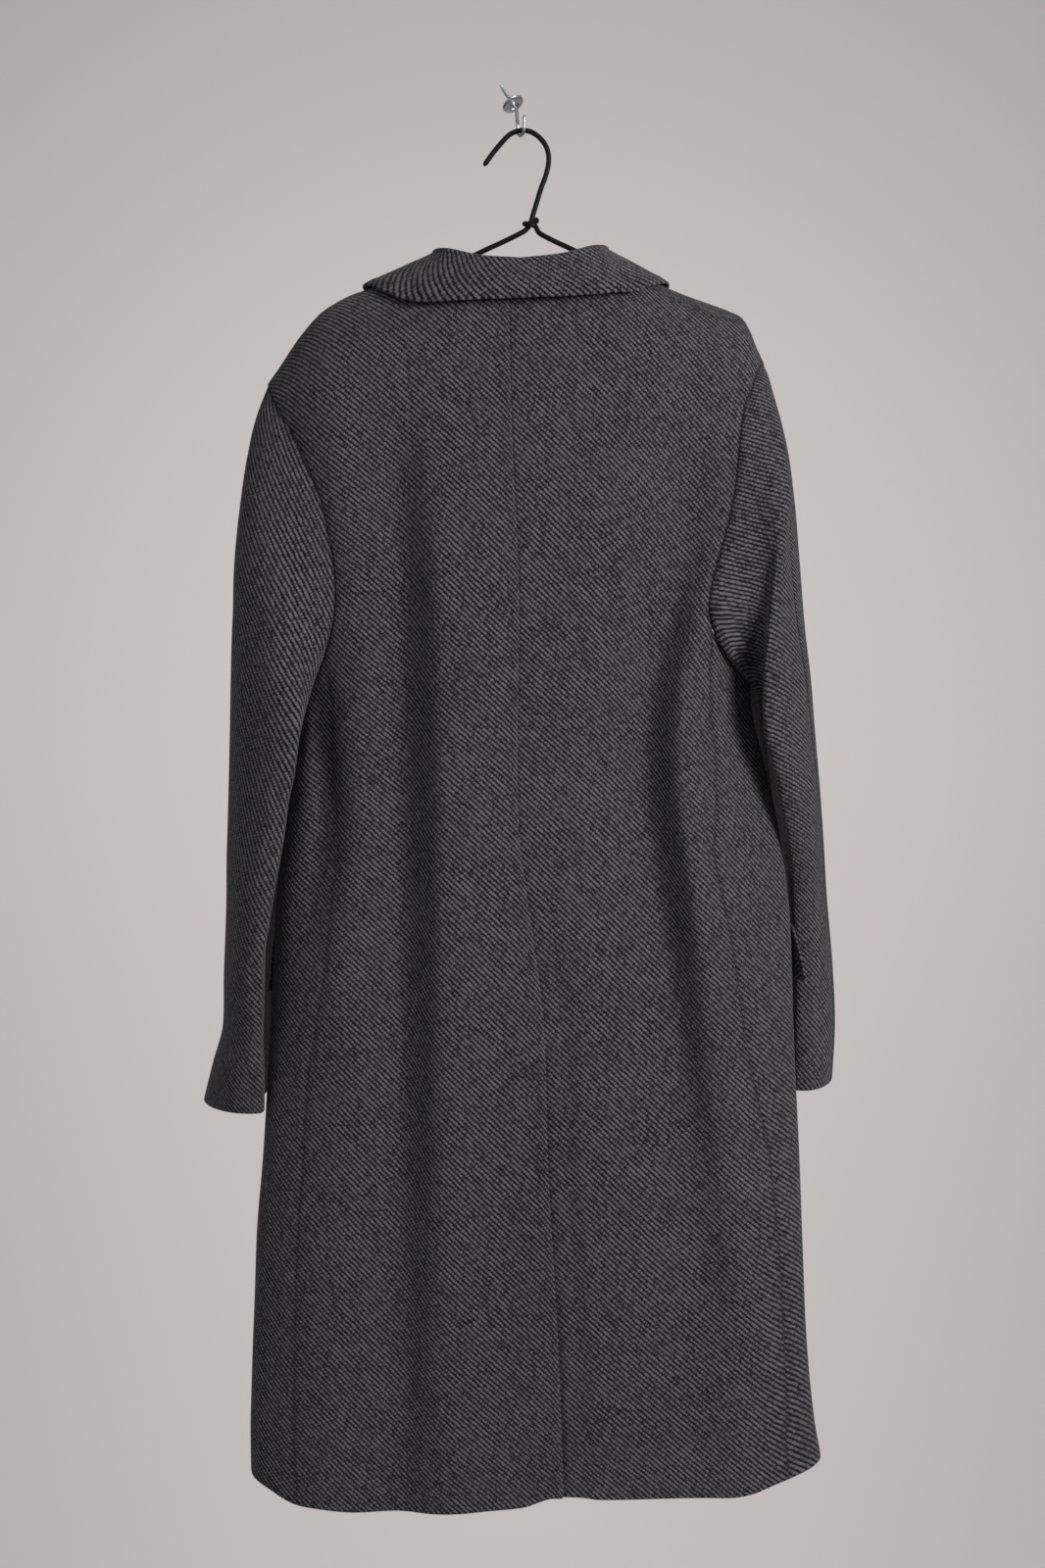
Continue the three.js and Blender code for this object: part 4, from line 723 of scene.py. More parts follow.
def panel_borders(part, side):
    """The top, bottom, first and last border of a panel; the first is nearest to the centre back."""
    lines = SEAMS[side]
    sign = lines["sign"]
    if part == "back":
        top = joined((lines["neck"], NECK_ROWS), (lines["shoulder"], SHOULDER_ROWS))
        last = joined((lines["armhole_back"], ARMHOLE_ROWS), (lines["back_side"], SIDE_ROWS))
        end_x = vent_edge(sign, -1257.0)

        def centre(t):
            z = mix(CENTRE_BACK["z"][0], hem(end_x), np.asarray(t, float))
            return locate(vent_edge(sign, z), z, -1)

        first = joined((centre, ARMHOLE_ROWS + SIDE_ROWS))
    elif part == "side":
        top = joined((lines["underarm"], UNDERARM_ROWS))
        first = joined((lines["back_side"], SIDE_ROWS))
        last = joined((lines["front_side"], SIDE_ROWS))
    else:
        top = joined((lines["shoulder_front"], SHOULDER_ROWS))
        last = joined((backwards(lines["armhole_front"]), ARMHOLE_ROWS), (lines["front_side"], SIDE_ROWS))
        lower = ARMHOLE_ROWS + SIDE_ROWS - FRONT_NECK_ROWS
        opening = joined((lines["neck_front"], FRONT_NECK_ROWS), (lines["front"], lower))

        def first(t):
            return unwrap(sign, opening(t))

        first.rows = opening.rows
    bottom = joined((hem_between(first(1.0), last(1.0)), top.rows))
    return top, bottom, first, last


TACK = np.array([(-9.0, -871.0), (24.0, -849.0)])  # the stitches across the top of the vent, x and z


def centre_seam(sign, flat, pressed, normals, seam, twill):
    """The ridge of the left back beside the centre back and the vent, with painted shadow on the right back beside
    the vent's edge, painted shade along the sunk centre join above the vent, and painted shade in the dent of the
    left back's tack.
    """
    distance = border_distance(flat)["first"]
    x, z = flat[..., 0], flat[..., 2]
    if sign < 0:
        rise = 1.5 * hump(distance - 3.2, 2.4) - 0.6 * hump(distance, 1.0)
        twill = twill - np.exp(-distance / 4.5)[..., None] * [2.6, 0]
    else:
        vent = smooth((VENT_TOP_Z - z) / 40)
        beside = x - centre_back(z)
        rise = -0.9 * hump(distance, 3.0) * (1 - vent)
        # Painted shadow on the right back beside the vent, where the left back's edge lies over it, and painted shade
        # along the sunk centre join above the vent.
        line = 0.8 * hump(beside - 1.0, SEAM_SHADE_HALF_WIDTH) * vent + 0.4 * hump(distance, 1.6) * (1 - vent)
        seam = np.maximum(seam, line)
        twill = twill + [1.3, 0.7]
    # The tack's dent is sunk and also painted darker: painted shade in the dent.
    along = TACK[1] - TACK[0]
    share = np.clip(((x - TACK[0, 0]) * along[0] + (z - TACK[0, 1]) * along[1]) / (along @ along), 0, 1)
    off = np.hypot(x - TACK[0, 0] - share * along[0], z - TACK[0, 1] - share * along[1])
    tack = hump(off, 2.2) * (sign < 0)
    return pressed + normals * (rise - 0.5 * tack)[..., None], np.maximum(seam, 0.7 * tack), twill


PANEL_SHAPES = {  # columns and rows of the mesh, width and length of the panel, sewn borders
    "back": (60, 240, 230, 1080, {"top": 0.5, "last": 0.7}),
    "side": (36, 170, 150, 750, {"top": 0.4, "first": 0.7, "last": 0.7}),
    "front": (52, 220, 220, 1080, {"top": 0.8, "last": 0.7}),
}


def build_panel(part, side):
    """One panel of the body as a patch of the shell."""
    cols, rows, width, length, sewn = PANEL_SHAPES[part]
    sign = SIDES[side]
    u, v = samples(cols, width), samples(rows, length)
    grid = patch(*panel_borders(part, side), u, v)
    phi, s = grid[..., 0], grid[..., 1]
    normals = shell_normal(phi, s)
    points = shell(phi, s)
    shift = {"back": vent_shift, "front": lap_shift}.get(part, lambda *_: 0)(sign, points)
    points = points + normals * (relief(points) + shift)[..., None]
    free = ["bottom"] + (["first"] if part == "front" else [])
    twill = twill_at(phi, s)
    pressed, seam = press_seams(points, normals, sewn, free)
    seam = seam * 0.5
    if part == "back":
        pressed, seam, twill = centre_seam(sign, points, pressed, normals, seam, twill)
    points = draw_back(pressed, [*sewn, *(["first"] if part == "back" else [])])
    thickness = settings().cloth_thickness / MM
    inner = points - normals * thickness
    name = f"{part}_{side}"
    piece = cloth_piece(f"wool_{name}", points, inner, twill, seam, free)
    finish_cloth(piece, name, points)


# ------------------------------------------------------------------ sleeves
SLEEVE = {
    "left": columns("z outer inner edge y deep", [
        (-600, -257.5, -207, -195, -16, 84), (-660, -260, -214, -206, -12, 82), (-720, -262, -223, -217, -8, 79),
        (-780, -265.5, -228, -224, -2, 76), (-834, -269, -230, -226.5, 6, 73), (-870, -279, -232, -228, 12, 72),
        (-906, -289, -234, -230, 20, 70)]),
    "right": columns("z outer inner edge y deep", [
        (-560, 275, 237, 226, -4, 84), (-608, 281, 243, 237, 8, 82), (-661, 288, 251, 248, 30, 78),
        (-720, 296, 259.5, 257.5, 60, 71), (-789, 303.5, 263.5, 262, 68, 70), (-843, 306.5, 264, 262.5, 69, 69),
        (-896, 304.5, 264.5, 263, 70, 68)]),
}
SLEEVE_LINE = {
    "left": columns("z x", [(-262, -225), (-300, -233), (-352, -240.5), (-405, -247), (-458, -250.5), (-511, -253.5),
                            (-600, -257.5)]),
    "right": columns("z x", [(-250, 231), (-300, 247.5), (-352, 255.5), (-405, 260), (-458, 264), (-511, 270),
                             (-560, 275)]),
}
SEAM_TURN = {"left": -8, "right": 26}
LEAVE_OUT = 0.2  # how far sideways the sleeve leaves the armhole
HEAD_SHARE = 8 / 17  # share of the sleeve's rows that are above the level rings


def sleeve_grid(side, rows, round_count):
    """The sleeve as rows from the armhole down and columns round it, from the outer seam backwards."""
    lines, table = SEAMS[side], SLEEVE[side]
    sign = lines["sign"]
    value = {key: through(table["z"], table[key]) for key in ("outer", "inner", "edge", "y", "deep")}
    top, cuff = table["z"][0], table["z"][-1]

    def ring(turn, z):
        mid, thick = (value["outer"](z) + value["inner"](z)) / 2, np.abs(value["outer"](z) - value["inner"](z)) / 2
        reach = np.abs(value["edge"](z) - mid)
        bow = np.where(reach > thick, (reach + np.sqrt(np.maximum(reach ** 2 - thick ** 2, 0))) / 2, 0)
        sin, deep = section(turn)
        x = mid - sign * (thick * deep + bow * sin * sin)
        return np.stack(np.broadcast_arrays(x, value["y"](z) - value["deep"](z) * sin, z), -1)

    counts = ARMHOLE_ROWS, UNDERARM_ROWS, ARMHOLE_ROWS
    loop = joined(*zip((lines["armhole_back"], lines["underarm"], lines["armhole_front"]), counts))
    share = np.linspace(0, 1, round_count + 1)
    turns = np.interp(share * loop.rows, [0, counts[0], counts[0] + counts[1], loop.rows], [0, 150, 210, 360])
    places = loop(share)
    starts = shell(places[:, 0], places[:, 1])
    lift = np.sin(np.radians(turns))
    out = np.abs(lift)
    leave = unit(np.stack([sign * (LEAVE_OUT + 0.4 * out), -0.1 * lift, -(0.9 - 0.3 * out)], -1))
    turn = turns + SEAM_TURN[side]
    end = ring(turn, np.full_like(turn, top))
    arrive = unit(ring(turn, np.full_like(turn, top - 15)) - end)
    reach = np.linalg.norm(end - starts, axis=-1)[:, None]
    head_rows = round(rows * HEAD_SHARE)
    t = (np.arange(head_rows + 1) / head_rows)[:, None, None]
    head = (starts * (1 + 2 * t) * (1 - t) ** 2 + leave * reach * t * (1 - t) ** 2
            + end * t * t * (3 - 2 * t) + arrive * reach * t * t * (t - 1))
    line = through(SLEEVE_LINE[side]["z"], SLEEVE_LINE[side]["x"])
    facing = np.maximum(np.cos(np.radians(turn)), 0) ** 1.5
    for i in range(1, head_rows):
        widest = head[i][np.argmax(sign * head[i][:, 0])]
        fade = smooth(i / head_rows * 8) * smooth((head_rows - i) / head_rows * 8)
        head[i][:, 0] += (line(widest[2]) - widest[0]) * facing * fade
    z = mix(top, cuff, (np.arange(1, rows - head_rows + 1) / (rows - head_rows)))[:, None]
    arm = ring(np.broadcast_to(turn, (len(z), len(turn))), z * np.ones_like(turn)[None])
    return np.concatenate([head, arm]), places


CREASES = {  # folds across a sleeve: level, turn, height, how tall, how wide, lean
    "left": [(-470, 60, -2.2, 16, 26, 0.5), (-540, 118, 2.6, 20, 22, -0.3), (-610, 96, -2.4, 18, 30, 0.4),
             (-690, 60, 1.8, 22, 34, 0.3), (-760, 110, -2.0, 18, 30, -0.3), (-835, 80, -3.0, 20, 50, 0.0),
             (-690, 250, 2.5, 22, 40, 0.3), (-560, 270, -2.5, 20, 40, -0.3)],
    "right": [(-352, 50, 2.4, 14, 30, 0.2), (-400, 90, -2.4, 13, 34, 0.25), (-446, 120, 3.2, 12, 34, 0.3),
              (-505, 128, -2.6, 14, 30, 0.5), (-560, 80, 2.2, 20, 30, 0.4), (-660, 70, -2.0, 22, 34, 0.3),
              (-760, 60, 1.6, 24, 40, 0.2), (-620, 260, 2.5, 22, 40, 0.3), (-500, 280, -2.5, 20, 40, -0.3)],
}


def build_sleeve(side):
    """Both halves of a sleeve, creased across, with their tops tucked into the armhole."""
    rows, round_count = 150, 144
    sign = SIDES[side]
    outer, places = sleeve_grid(side, rows, round_count)
    wrapped = np.concatenate([outer[:, -2:-1], outer, outer[:, 1:2]], 1)
    normals = grid_normals(wrapped, np.array([sign, 0, 0]))[:, 1:-1]
    centre = outer[:, :-1].mean(1, keepdims=True)
    normals = normals * np.sign((normals * (outer - centre)).sum(-1)[-1].mean())
    turns = np.linspace(0, 360, round_count + 1)[None] * np.ones((rows + 1, 1))
    swell = np.zeros(outer.shape[:2])
    for level, turn, height, tall, wide, lean in CREASES[side]:
        off = (turns - turn + 180) % 360 - 180
        swell += height * np.exp(-(((outer[..., 2] - level + lean * off) / tall) ** 2) - (off / wide) ** 2)
    fade = smooth(lengths(outer, 0) / 30)
    points = outer + normals * (swell * fade)[..., None]
    thickness = settings().cloth_thickness / MM
    body_normals = shell_normal(places[:, 0], places[:, 1])
    for part, cols in (("back", slice(0, round_count // 2 + 1)), ("front", slice(round_count // 2, None))):
        name = f"sleeve_{part}_{side}"
        wall, normal = points[:, cols], normals[:, cols]
        wall, seam = press_seams(wall, normal, {"top": 1.4, "first": 0.8, "last": 0.8}, ["bottom"])
        wall = draw_back(wall, ["first", "last"])
        wall[0] += unit(wall[1] - wall[0]) * 2 * HALF_GAP
        tuck = wall[0] - unit(wall[1] - wall[0]) * 4.5 - body_normals[cols] * (thickness + 0.8)
        # The tucked row inside the armhole gets full painted shade, and the armhole and side joins get painted shade
        # along them.
        wall, normal, seam = (np.insert(grid, 0, first, 0)
                              for grid, first in ((wall, tuck), (normal, normal[0]), (seam, 1)))
        level = TWILL_SLEEVE[side](wall[..., 2])
        angle = np.radians(level if part == "back" or side == "left" else mix(level, 45, 0.7))
        twill = fit_twill(wall, normal, angle) + [3.1 * sign, 1.7]
        piece = cloth_piece(f"wool_{name}", wall, wall - normal * thickness, twill, seam, ["bottom"])
        finish_cloth(piece, name, wall)


# ------------------------------------------------------------------ collar
COLLAR = columns("station foldX foldY foldZ edgeX edgeRun edgeLift leftOut", [
    (0, 0, -67, -146, 0, -84, 12, 0), (2, 36, -62, -142, 46, -82, 11, 2), (3.4, 60, -48, -134.5, 80, -74, 9, 4),
    (4.2, 68, -34, -131.5, 102, -57, 6.8, 6), (5, 75, -18, -130.5, 124, -22, 4.6, 8),
    (6.6, 76, 6, -140, 131, 14, 4.2, 8), (8.3, 70, 26, -163, 121, 62, 4, 4), (10, 62, 40, -197, 100, 108, 4, 0),
])
COLLAR_TILT, FOLD_RADIUS, LEAF_CLEARANCE = 0.02, 3.2, CLOTH / 2 + 1.1


def collar_lines(side, stations):
    """Cross-sections of the collar's middle surface, from its seam over the fold to its free edge."""
    lines = SEAMS[side]
    sign = lines["sign"]
    at = {key: through(COLLAR["station"], COLLAR[key])(stations) for key in COLLAR}
    on_back = stations <= NECK_ROWS
    foot = np.where(on_back[:, None], lines["neck"](np.clip(stations / NECK_ROWS, 0, 1)),
                    lines["neck_front"](np.clip((stations - NECK_ROWS) / FRONT_NECK_ROWS, 0, 1)))
    fold_x = sign * at["foldX"]
    fold = np.stack([NECK_X + fold_x, at["foldY"], at["foldZ"] + COLLAR_TILT * fold_x], -1)
    edge_x, run = NECK_X + sign * (at["edgeX"] + (at["leftOut"] if sign < 0 else 0)), at["edgeRun"]
    edge_turn = turn_of((edge_x - SHOULDER_MID_X) / SHOULDER_HALF)
    turn = sign * np.where(run < 0, edge_turn, 180 - edge_turn)
    free = shell(turn, np.abs(run)) + shell_normal(turn, np.abs(run)) * at["edgeLift"][:, None]
    base = shell(foot[:, 0], foot[:, 1]) - shell_normal(foot[:, 0], foot[:, 1]) * CLOTH / 2
    base = base + unit(fold - base) * np.where(on_back, 2.4, 3.6)[:, None]
    out = unit((free - fold) * [1, 1, 0])

    def turned(angle):
        a = math.radians(angle)
        return fold + FOLD_RADIUS * (out * math.cos(a) + [0, 0, math.sin(a) - 1])

    inside, outside = turned(180), turned(0)
    leaf = [turned(45), outside, *(mix(outside, free, t) + out * 2 for t in (1 / 3, 2 / 3)), free]
    row = [base, mix(base, inside, 0.5), inside, turned(135), turned(90)]
    return np.stack(row + [clear_of(p, LEAF_CLEARANCE) for p in leaf])


def refine(points, count):
    """More rows through the given ones, spaced by distance."""
    step = np.linalg.norm(np.diff(points, axis=0), axis=-1).mean(1)
    keys = np.concatenate([[0], np.cumsum(step)])
    t = samples(count, keys[-1]) * keys[-1]
    rows = [through(keys, column)(t) for column in points.reshape(len(points), -1).T]
    return np.stack(rows, -1).reshape(len(t), *points.shape[1:])


def build_collar():
    """The collar in one piece, its stand inside and its fall over it."""
    stations = np.linspace(0, 10, 61)[1:]
    left = collar_lines("left", stations[::-1])
    right = collar_lines("right", np.concatenate([[0], stations]))
    middle_wall = refine(np.concatenate([left, right], 1), 56)
    normal = unit(np.cross(np.gradient(middle_wall, axis=0), np.gradient(middle_wall, axis=1)))
    centre = len(stations)
    top_row = np.argmax(middle_wall[:, centre, 2])
    normal = normal * (1 if normal[top_row, centre, 2] > 0 else -1)
    outer, inner = middle_wall + normal * (CLOTH / 2), middle_wall - normal * (CLOTH / 2)
    distance = border_distance(outer)
    edge_line = np.minimum(np.minimum(distance["bottom"], distance["first"]), distance["last"])
    ridge_line = 0.5 * hump(distance["bottom"] - 8, 3.0) - 0.5 * hump(edge_line, 2)
    outer = outer + normal * ridge_line[..., None]
    twill = run_collar_twill(outer, math.radians(43.5))
    # Painted shade along the collar's neck edge, under the fall.
    seam = hump(distance["top"], SEAM_SHADE_HALF_WIDTH)
    piece = cloth_piece("wool_collar", outer, inner, twill, seam, ["bottom", "first", "last"])
    finish_cloth(piece, "collar", outer)


def run_collar_twill(points, theta):
    """Distances across and along the twill's lines over a strip: its rows go down, its columns to the right."""
    middle_column = points.shape[1] // 2
    across_len = lengths(points, 1)
    across_len = across_len - across_len[:, middle_column:middle_column + 1]
    down = lengths(points, 0)[:, middle_column:middle_column + 1]
    straight = across_len.mean(0, keepdims=True) + 0 * across_len
    return np.stack([math.cos(theta) * down - math.sin(theta) * straight,
                     math.sin(theta) * down + math.cos(theta) * straight], -1) + [0.9, 0.2]


# ------------------------------------------------------------------ pieces on the fronts
LAPEL = {
    "left": columns("z out", [(-250, 120), (-270, 119), (-320, 103), (-380, 72), (-430, 34), (-462, -16)]),
    "right": columns("z out", [(-250, 120), (-270, 119), (-300, 108), (-330, 82), (-348, 56), (-358, 28)]),
}
LAPEL_LIFT = 1.1
FLAP = {  # rear and front turn, top level, height, how far the rear end stands off
    "left": (100, 146, -746, 56, 2),
    "right": (80, 132, -740, 48, 9),
}


def laid(side, x, z, lift):
    """A point this far off the front, over its lap."""
    place = locate(x, z, 1)
    p = shell(place[..., 0], place[..., 1])
    normal = shell_normal(place[..., 0], place[..., 1])
    return p + normal * (lift + lap_shift(SIDES[side], p))[..., None], normal


def build_lapel(side):
    """A lapel that lies on its front, thicker along the roll."""
    sign = SIDES[side]
    out = through(LAPEL[side]["z"], LAPEL[side]["out"])
    end_z = LAPEL[side]["z"][-1]
    u, v = samples(36, 90)[None], samples(64, 220)[:, None]
    roll_z = mix(GORGE_Z - 6, end_z, v)
    roll = mix(GORGE_HALF, -FRONT_LAP, (GORGE_Z - roll_z) / (GORGE_Z - ROLL_END_Z)) + 3
    out_z = mix(-250, end_z - 1, v)
    x = NECK_X + sign * mix(roll, out(out_z), u)
    z = mix(roll_z, out_z, u)
    inner, normal = laid(side, x, z, LAPEL_LIFT)
    swell = 1.6 * hump(border_distance(inner)["first"], 14)
    outer = inner + normal * (CLOTH + 0.3 + swell)[..., None]
    distance = border_distance(outer)
    near = np.minimum(distance["last"], np.minimum(distance["top"], distance["bottom"]))
    outer = outer - normal * (0.7 * hump(near, 2.2))[..., None]
    twill = fit_twill(outer, normal, np.full(outer.shape[:2], math.radians(45))) + [1.1, 2.3]
    free = ["top", "bottom", "first", "last"]
    piece = cloth_piece(f"wool_lapel_{side}", outer, inner, twill, np.zeros(outer.shape[:2]), free)
    finish_cloth(piece, f"lapel_{side}", outer)


def build_flap(side):
    """A pocket flap, sewn along its top, that stands off at its rear end."""
    rear, front, top_z, height, stand_off = FLAP[side]
    sign = SIDES[side]
    u, v = samples(56, 165)[None], samples(26, 55)[:, None]
    phi = sign * mix(rear, front, u) * np.ones_like(v)
    s = round_run(ridge_over(section(phi)[0]) - (top_z - v * height))
    stand = stand_off * v ** 0.8 * (1 - smooth(u * 6)) + 1.2 * v
    normal = shell_normal(phi, s)
    inner = shell(phi, s) + normal * (LAID_GAP + 0.4 + stand)[..., None]
    outer = inner + normal * CLOTH
    distance = border_distance(outer)
    near = np.minimum(np.minimum(distance["first"], distance["last"]), distance["bottom"])
    outer = outer - normal * (0.8 * hump(near, 2.4))[..., None]
    # Painted shade along the flap's sewn top.
    seam = hump(distance["top"], SEAM_SHADE_HALF_WIDTH)
    twill = fit_twill(outer, normal, np.full(outer.shape[:2], math.radians(42))) + [0.4, 1.9]
    piece = cloth_piece(f"wool_flap_{side}", outer, inner, twill, seam, ["bottom", "first", "last"])
    finish_cloth(piece, f"flap_{side}", outer)


# ------------------------------------------------------------------ shader maths
class Value:
    """A socket that takes part in Python expressions; each operator adds a Math node."""

    def __init__(self, shader, socket):
        self.shader, self.socket = shader, socket

    def math(self, operation, *others):
        node = self.shader.node("ShaderNodeMath", {"operation": operation}, {0: self, **dict(enumerate(others, 1))})
        return Value(self.shader, node.outputs[0])

    def __add__(self, other): return self.math("ADD", other)
    __radd__ = __add__
    def __sub__(self, other): return self.math("SUBTRACT", other)
    def __rsub__(self, other): return (self * -1) + other
    def __mul__(self, other): return self.math("MULTIPLY", other)
    __rmul__ = __mul__
    def sin(self): return self.math("SINE")
    def floor(self): return self.math("FLOOR")
    def clamp(self): return self.math("MINIMUM", 1.0).math("MAXIMUM", 0.0)


class Shader:
    """A new material with a Principled surface."""

    def __init__(self, name):
        self.material = bpy.data.materials.new(name)
        self.material.use_nodes = True
        self.tree = self.material.node_tree
        self.surface = self.tree.nodes["Principled BSDF"]

    def node(self, kind, options=None, inputs=None):
        """Adds a node of a type, with its settings set first and then its sockets' values or links."""
        node = self.tree.nodes.new(kind)
        for key, value in (options or {}).items():
            setattr(node, key, value)
        for key, value in (inputs or {}).items():
            self.feed(node.inputs[key], value)
        return node

    def feed(self, socket, value):
        if isinstance(value, Value):
            self.tree.links.new(value.socket, socket)
        elif isinstance(value, bpy.types.NodeSocket):
            self.tree.links.new(value, socket)
        else:
            socket.default_value = value

    def value(self, node, output=0):
        return Value(self, node.outputs[output])

    def noise(self, vector, scale, detail=2.0, roughness=0.5):
        node = self.node("ShaderNodeTexNoise", {"noise_dimensions": "3D"},
                         {"Vector": vector, "Scale": scale, "Detail": detail, "Roughness": roughness})
        return self.value(node)

    def color_mix(self, factor, a, b):
        """Mixes two colours, by the Mix node's sockets for a factor and colours."""
        return self.node("ShaderNodeMix", {"data_type": "RGBA"}, {0: factor, 6: a, 7: b}).outputs[2]

    def vector(self, x, y, z=0.0):
        return self.node("ShaderNodeCombineXYZ", None, {0: x, 1: y, 2: z}).outputs[0]

    def set(self, **values):
        for key, value in values.items():
            self.feed(self.surface.inputs[key.replace("_", " ")], value)


STITCH, STITCH_SHIFT = 2.75, 0.383  # length of one float of yarn in millimetres, and its shift from line to line
YARN_SHADES = ((1.065, 0.99, 0.935), (0.935, 1.01, 1.065))  # a warmer and a cooler yarn in red, green and blue
PAINTED_SHADE_TINT = (0.052, 0.045, 0.066, 1)  # painted shade: the bluish colour of shadow, mixed into the cloth in random clouds


def wool_material():
    """Twill lines of short floats of yarn, no two alike, under a fibrous nap, with painted shade along the seams and
    in random clouds.
    """
    known = bpy.data.materials.get("charcoal wool twill")
    if known:
        return known
    look = settings()
    wool = Shader("charcoal wool twill")
    split = wool.node("ShaderNodeSeparateXYZ", None,
                      {0: wool.node("ShaderNodeUVMap", {"uv_map": "twill"}).outputs[0]})
    across, along = (wool.value(split, k) * 1000.0 for k in (0, 1))
    place = wool.node("ShaderNodeTexCoord").outputs["Object"]
    cloud = wool.noise(place, 38.0, 2.0)
    across = across + (wool.noise(place, 130.0, 2.0) - 0.5) * 1.5
    phase = across * (1 / (look.twill_pitch / MM))
    line = (phase + 0.25).floor()
    strand = (phase * FULL_TURN).sin() * 0.5 + 0.5
    bead = along * (1 / STITCH) + line * STITCH_SHIFT + (cloud - 0.5) * 1.6
    grain = ((bead - 0.25) * FULL_TURN).sin() * 0.5 + 0.5
    yarn = wool.value(wool.node("ShaderNodeTexWhiteNoise", {"noise_dimensions": "2D"},
                                {"Vector": wool.vector(line, bead.floor())}))
    fibre = wool.noise(wool.vector(across * 0.9, along * 0.55, cloud * 3.0), 1.0, 3.0, 0.62)
    fuzz = wool.noise(place, 1500.0, 2.0, 0.6)
    patchy = wool.noise(place, 14.0, 3.0, 0.55)
    flecks = wool.noise(wool.vector(across * 0.62, along * 0.4, 4.0), 1.0, 1.0)
    body = strand * (grain * 0.5 + 0.5)
    lit = (body * (yarn * 1.25 + 0.85) + (fibre - 0.5) * 2.2 + (fuzz - 0.5) * 1.4
           + (patchy - 0.5) * 0.25 - 0.14).clamp()
    dye = (wool.noise(wool.vector(across * 0.42, along * 0.3, 9.0), 1.0, 1.0) - 0.5) * 2.6 + 0.5
    warm, cool = (tuple(c * k for c, k in zip(look.wool_light, shift)) for shift in YARN_SHADES)
    light = wool.color_mix(dye.clamp(), (*warm, 1), (*cool, 1))
    color = wool.color_mix(lit, (*look.wool_dark, 1), light)
    pale = ((flecks - 0.66) * 7.0).clamp() * strand
    color = wool.color_mix(pale * 0.6, color, (*look.wool_fleck, 1))
    # Painted shade: random clouds of the cloth take on the colour of shadow.
    shade_clouds = wool.noise(place, 55.0, 2.0)
    color = wool.color_mix((shade_clouds - 0.42).clamp() * 0.5, color, PAINTED_SHADE_TINT)
    # Painted shade: the mask darkens the cloth along seams, beside the vent, at the tack, where the sleeves tuck in,
    # under the collar and along the flaps' tops.
    seam = wool.value(wool.node("ShaderNodeAttribute", {"attribute_name": "seam"}), "Fac")
    color = wool.color_mix(seam * 0.75, color, (*look.wool_dark, 1))
    height = body * 0.75 + (fibre - 0.5) * 0.7 + (fuzz - 0.5) * 0.35
    bump = wool.node("ShaderNodeBump", None, {"Strength": 0.75, "Distance": 0.0009, "Height": height})
    wool.set(Base_Color=color, Roughness=0.96, Normal=bump.outputs[0], Specular_IOR_Level=0.12,
             Sheen_Weight=0.16, Sheen_Roughness=0.45)
    return wool.material


def plain_material(name, color, roughness, metallic=0.0, scratch=0.0, bump=0.0002, scale=900.0, coat=0.0, shine=0.5):
    """A hard finish with a fine uneven surface and a little dust or wear."""
    known = bpy.data.materials.get(name)
    if known:
        return known
    hard = Shader(name)
    place = hard.node("ShaderNodeTexCoord").outputs["Object"]
    fine, coarse = hard.noise(place, scale, 4.0, 0.6), hard.noise(place, scale / 9, 3.0)
    worn = tuple(min(c * 1.7 + 0.02, 1) for c in color)
    shade = hard.color_mix(((coarse - 0.5) * 2.2).clamp() * 0.5 + scratch * fine, (*color, 1), (*worn, 1))
    bumps = hard.node("ShaderNodeBump", None, {"Strength": 0.4, "Distance": bump, "Height": fine})
    hard.set(Base_Color=shade, Roughness=(fine - 0.5) * 0.25 + roughness, Metallic=metallic, Normal=bumps.outputs[0],
             Coat_Weight=coat, Specular_IOR_Level=shine)
    return hard.material


# ------------------------------------------------------------------ hard pieces
def select(*pieces):
    """Selects these pieces alone and makes the first of them active."""
    bpy.ops.object.select_all(action="DESELECT")
    for piece in pieces:
        piece.select_set(True)
    if pieces:
        bpy.context.view_layer.objects.active = pieces[0]


def place_mesh(piece):
    """Puts the object's place, turn and size into its mesh."""
    select(piece)
    bpy.ops.object.transform_apply(location=True, rotation=True, scale=True)


def join(*pieces):
    select(*pieces)
    bpy.ops.object.join()
    return bpy.context.object


def cylinder(sides, radius, depth, place):
    """A cylinder in millimetres."""
    select()
    bpy.ops.mesh.primitive_cylinder_add(vertices=sides, radius=radius * MM, depth=depth * MM,
                                        location=[c * MM for c in place])
    return bpy.context.object


def edit_where(piece, elements, test):
    """Enters edit mode with only the vertices, edges or polygons selected that pass a test."""
    bpy.ops.object.mode_set(mode="EDIT")
    bpy.ops.mesh.select_mode(type={"vertices": "VERT", "edges": "EDGE", "polygons": "FACE"}[elements])
    bpy.ops.mesh.select_all(action="DESELECT")
    bpy.ops.object.mode_set(mode="OBJECT")
    for element in getattr(piece.data, elements):
        element.select = test(element)
    bpy.ops.object.mode_set(mode="EDIT")


def inset(piece, test, steps):
    """Insets the faces that pass a test again and again, by widths and heights in millimetres."""
    edit_where(piece, "polygons", test)
    for width, height in steps:
        bpy.ops.mesh.inset(thickness=width * MM, depth=height * MM)
    bpy.ops.object.mode_set(mode="OBJECT")


def apply_modifier(piece, kind, **values):
    modifier = piece.modifiers.new(kind, kind)
    for key, value in values.items():
        setattr(modifier, key, value)
    bpy.ops.object.modifier_apply(modifier=kind)


def round_edges(piece, width):
    apply_modifier(piece, "BEVEL", width=width * MM, segments=3, limit_method="ANGLE", angle_limit=math.radians(25))


def facing(direction):
    """The turn that brings +Z to a direction."""
    return Vector((0, 0, 1)).rotation_difference(Vector(direction)).to_matrix().to_4x4()


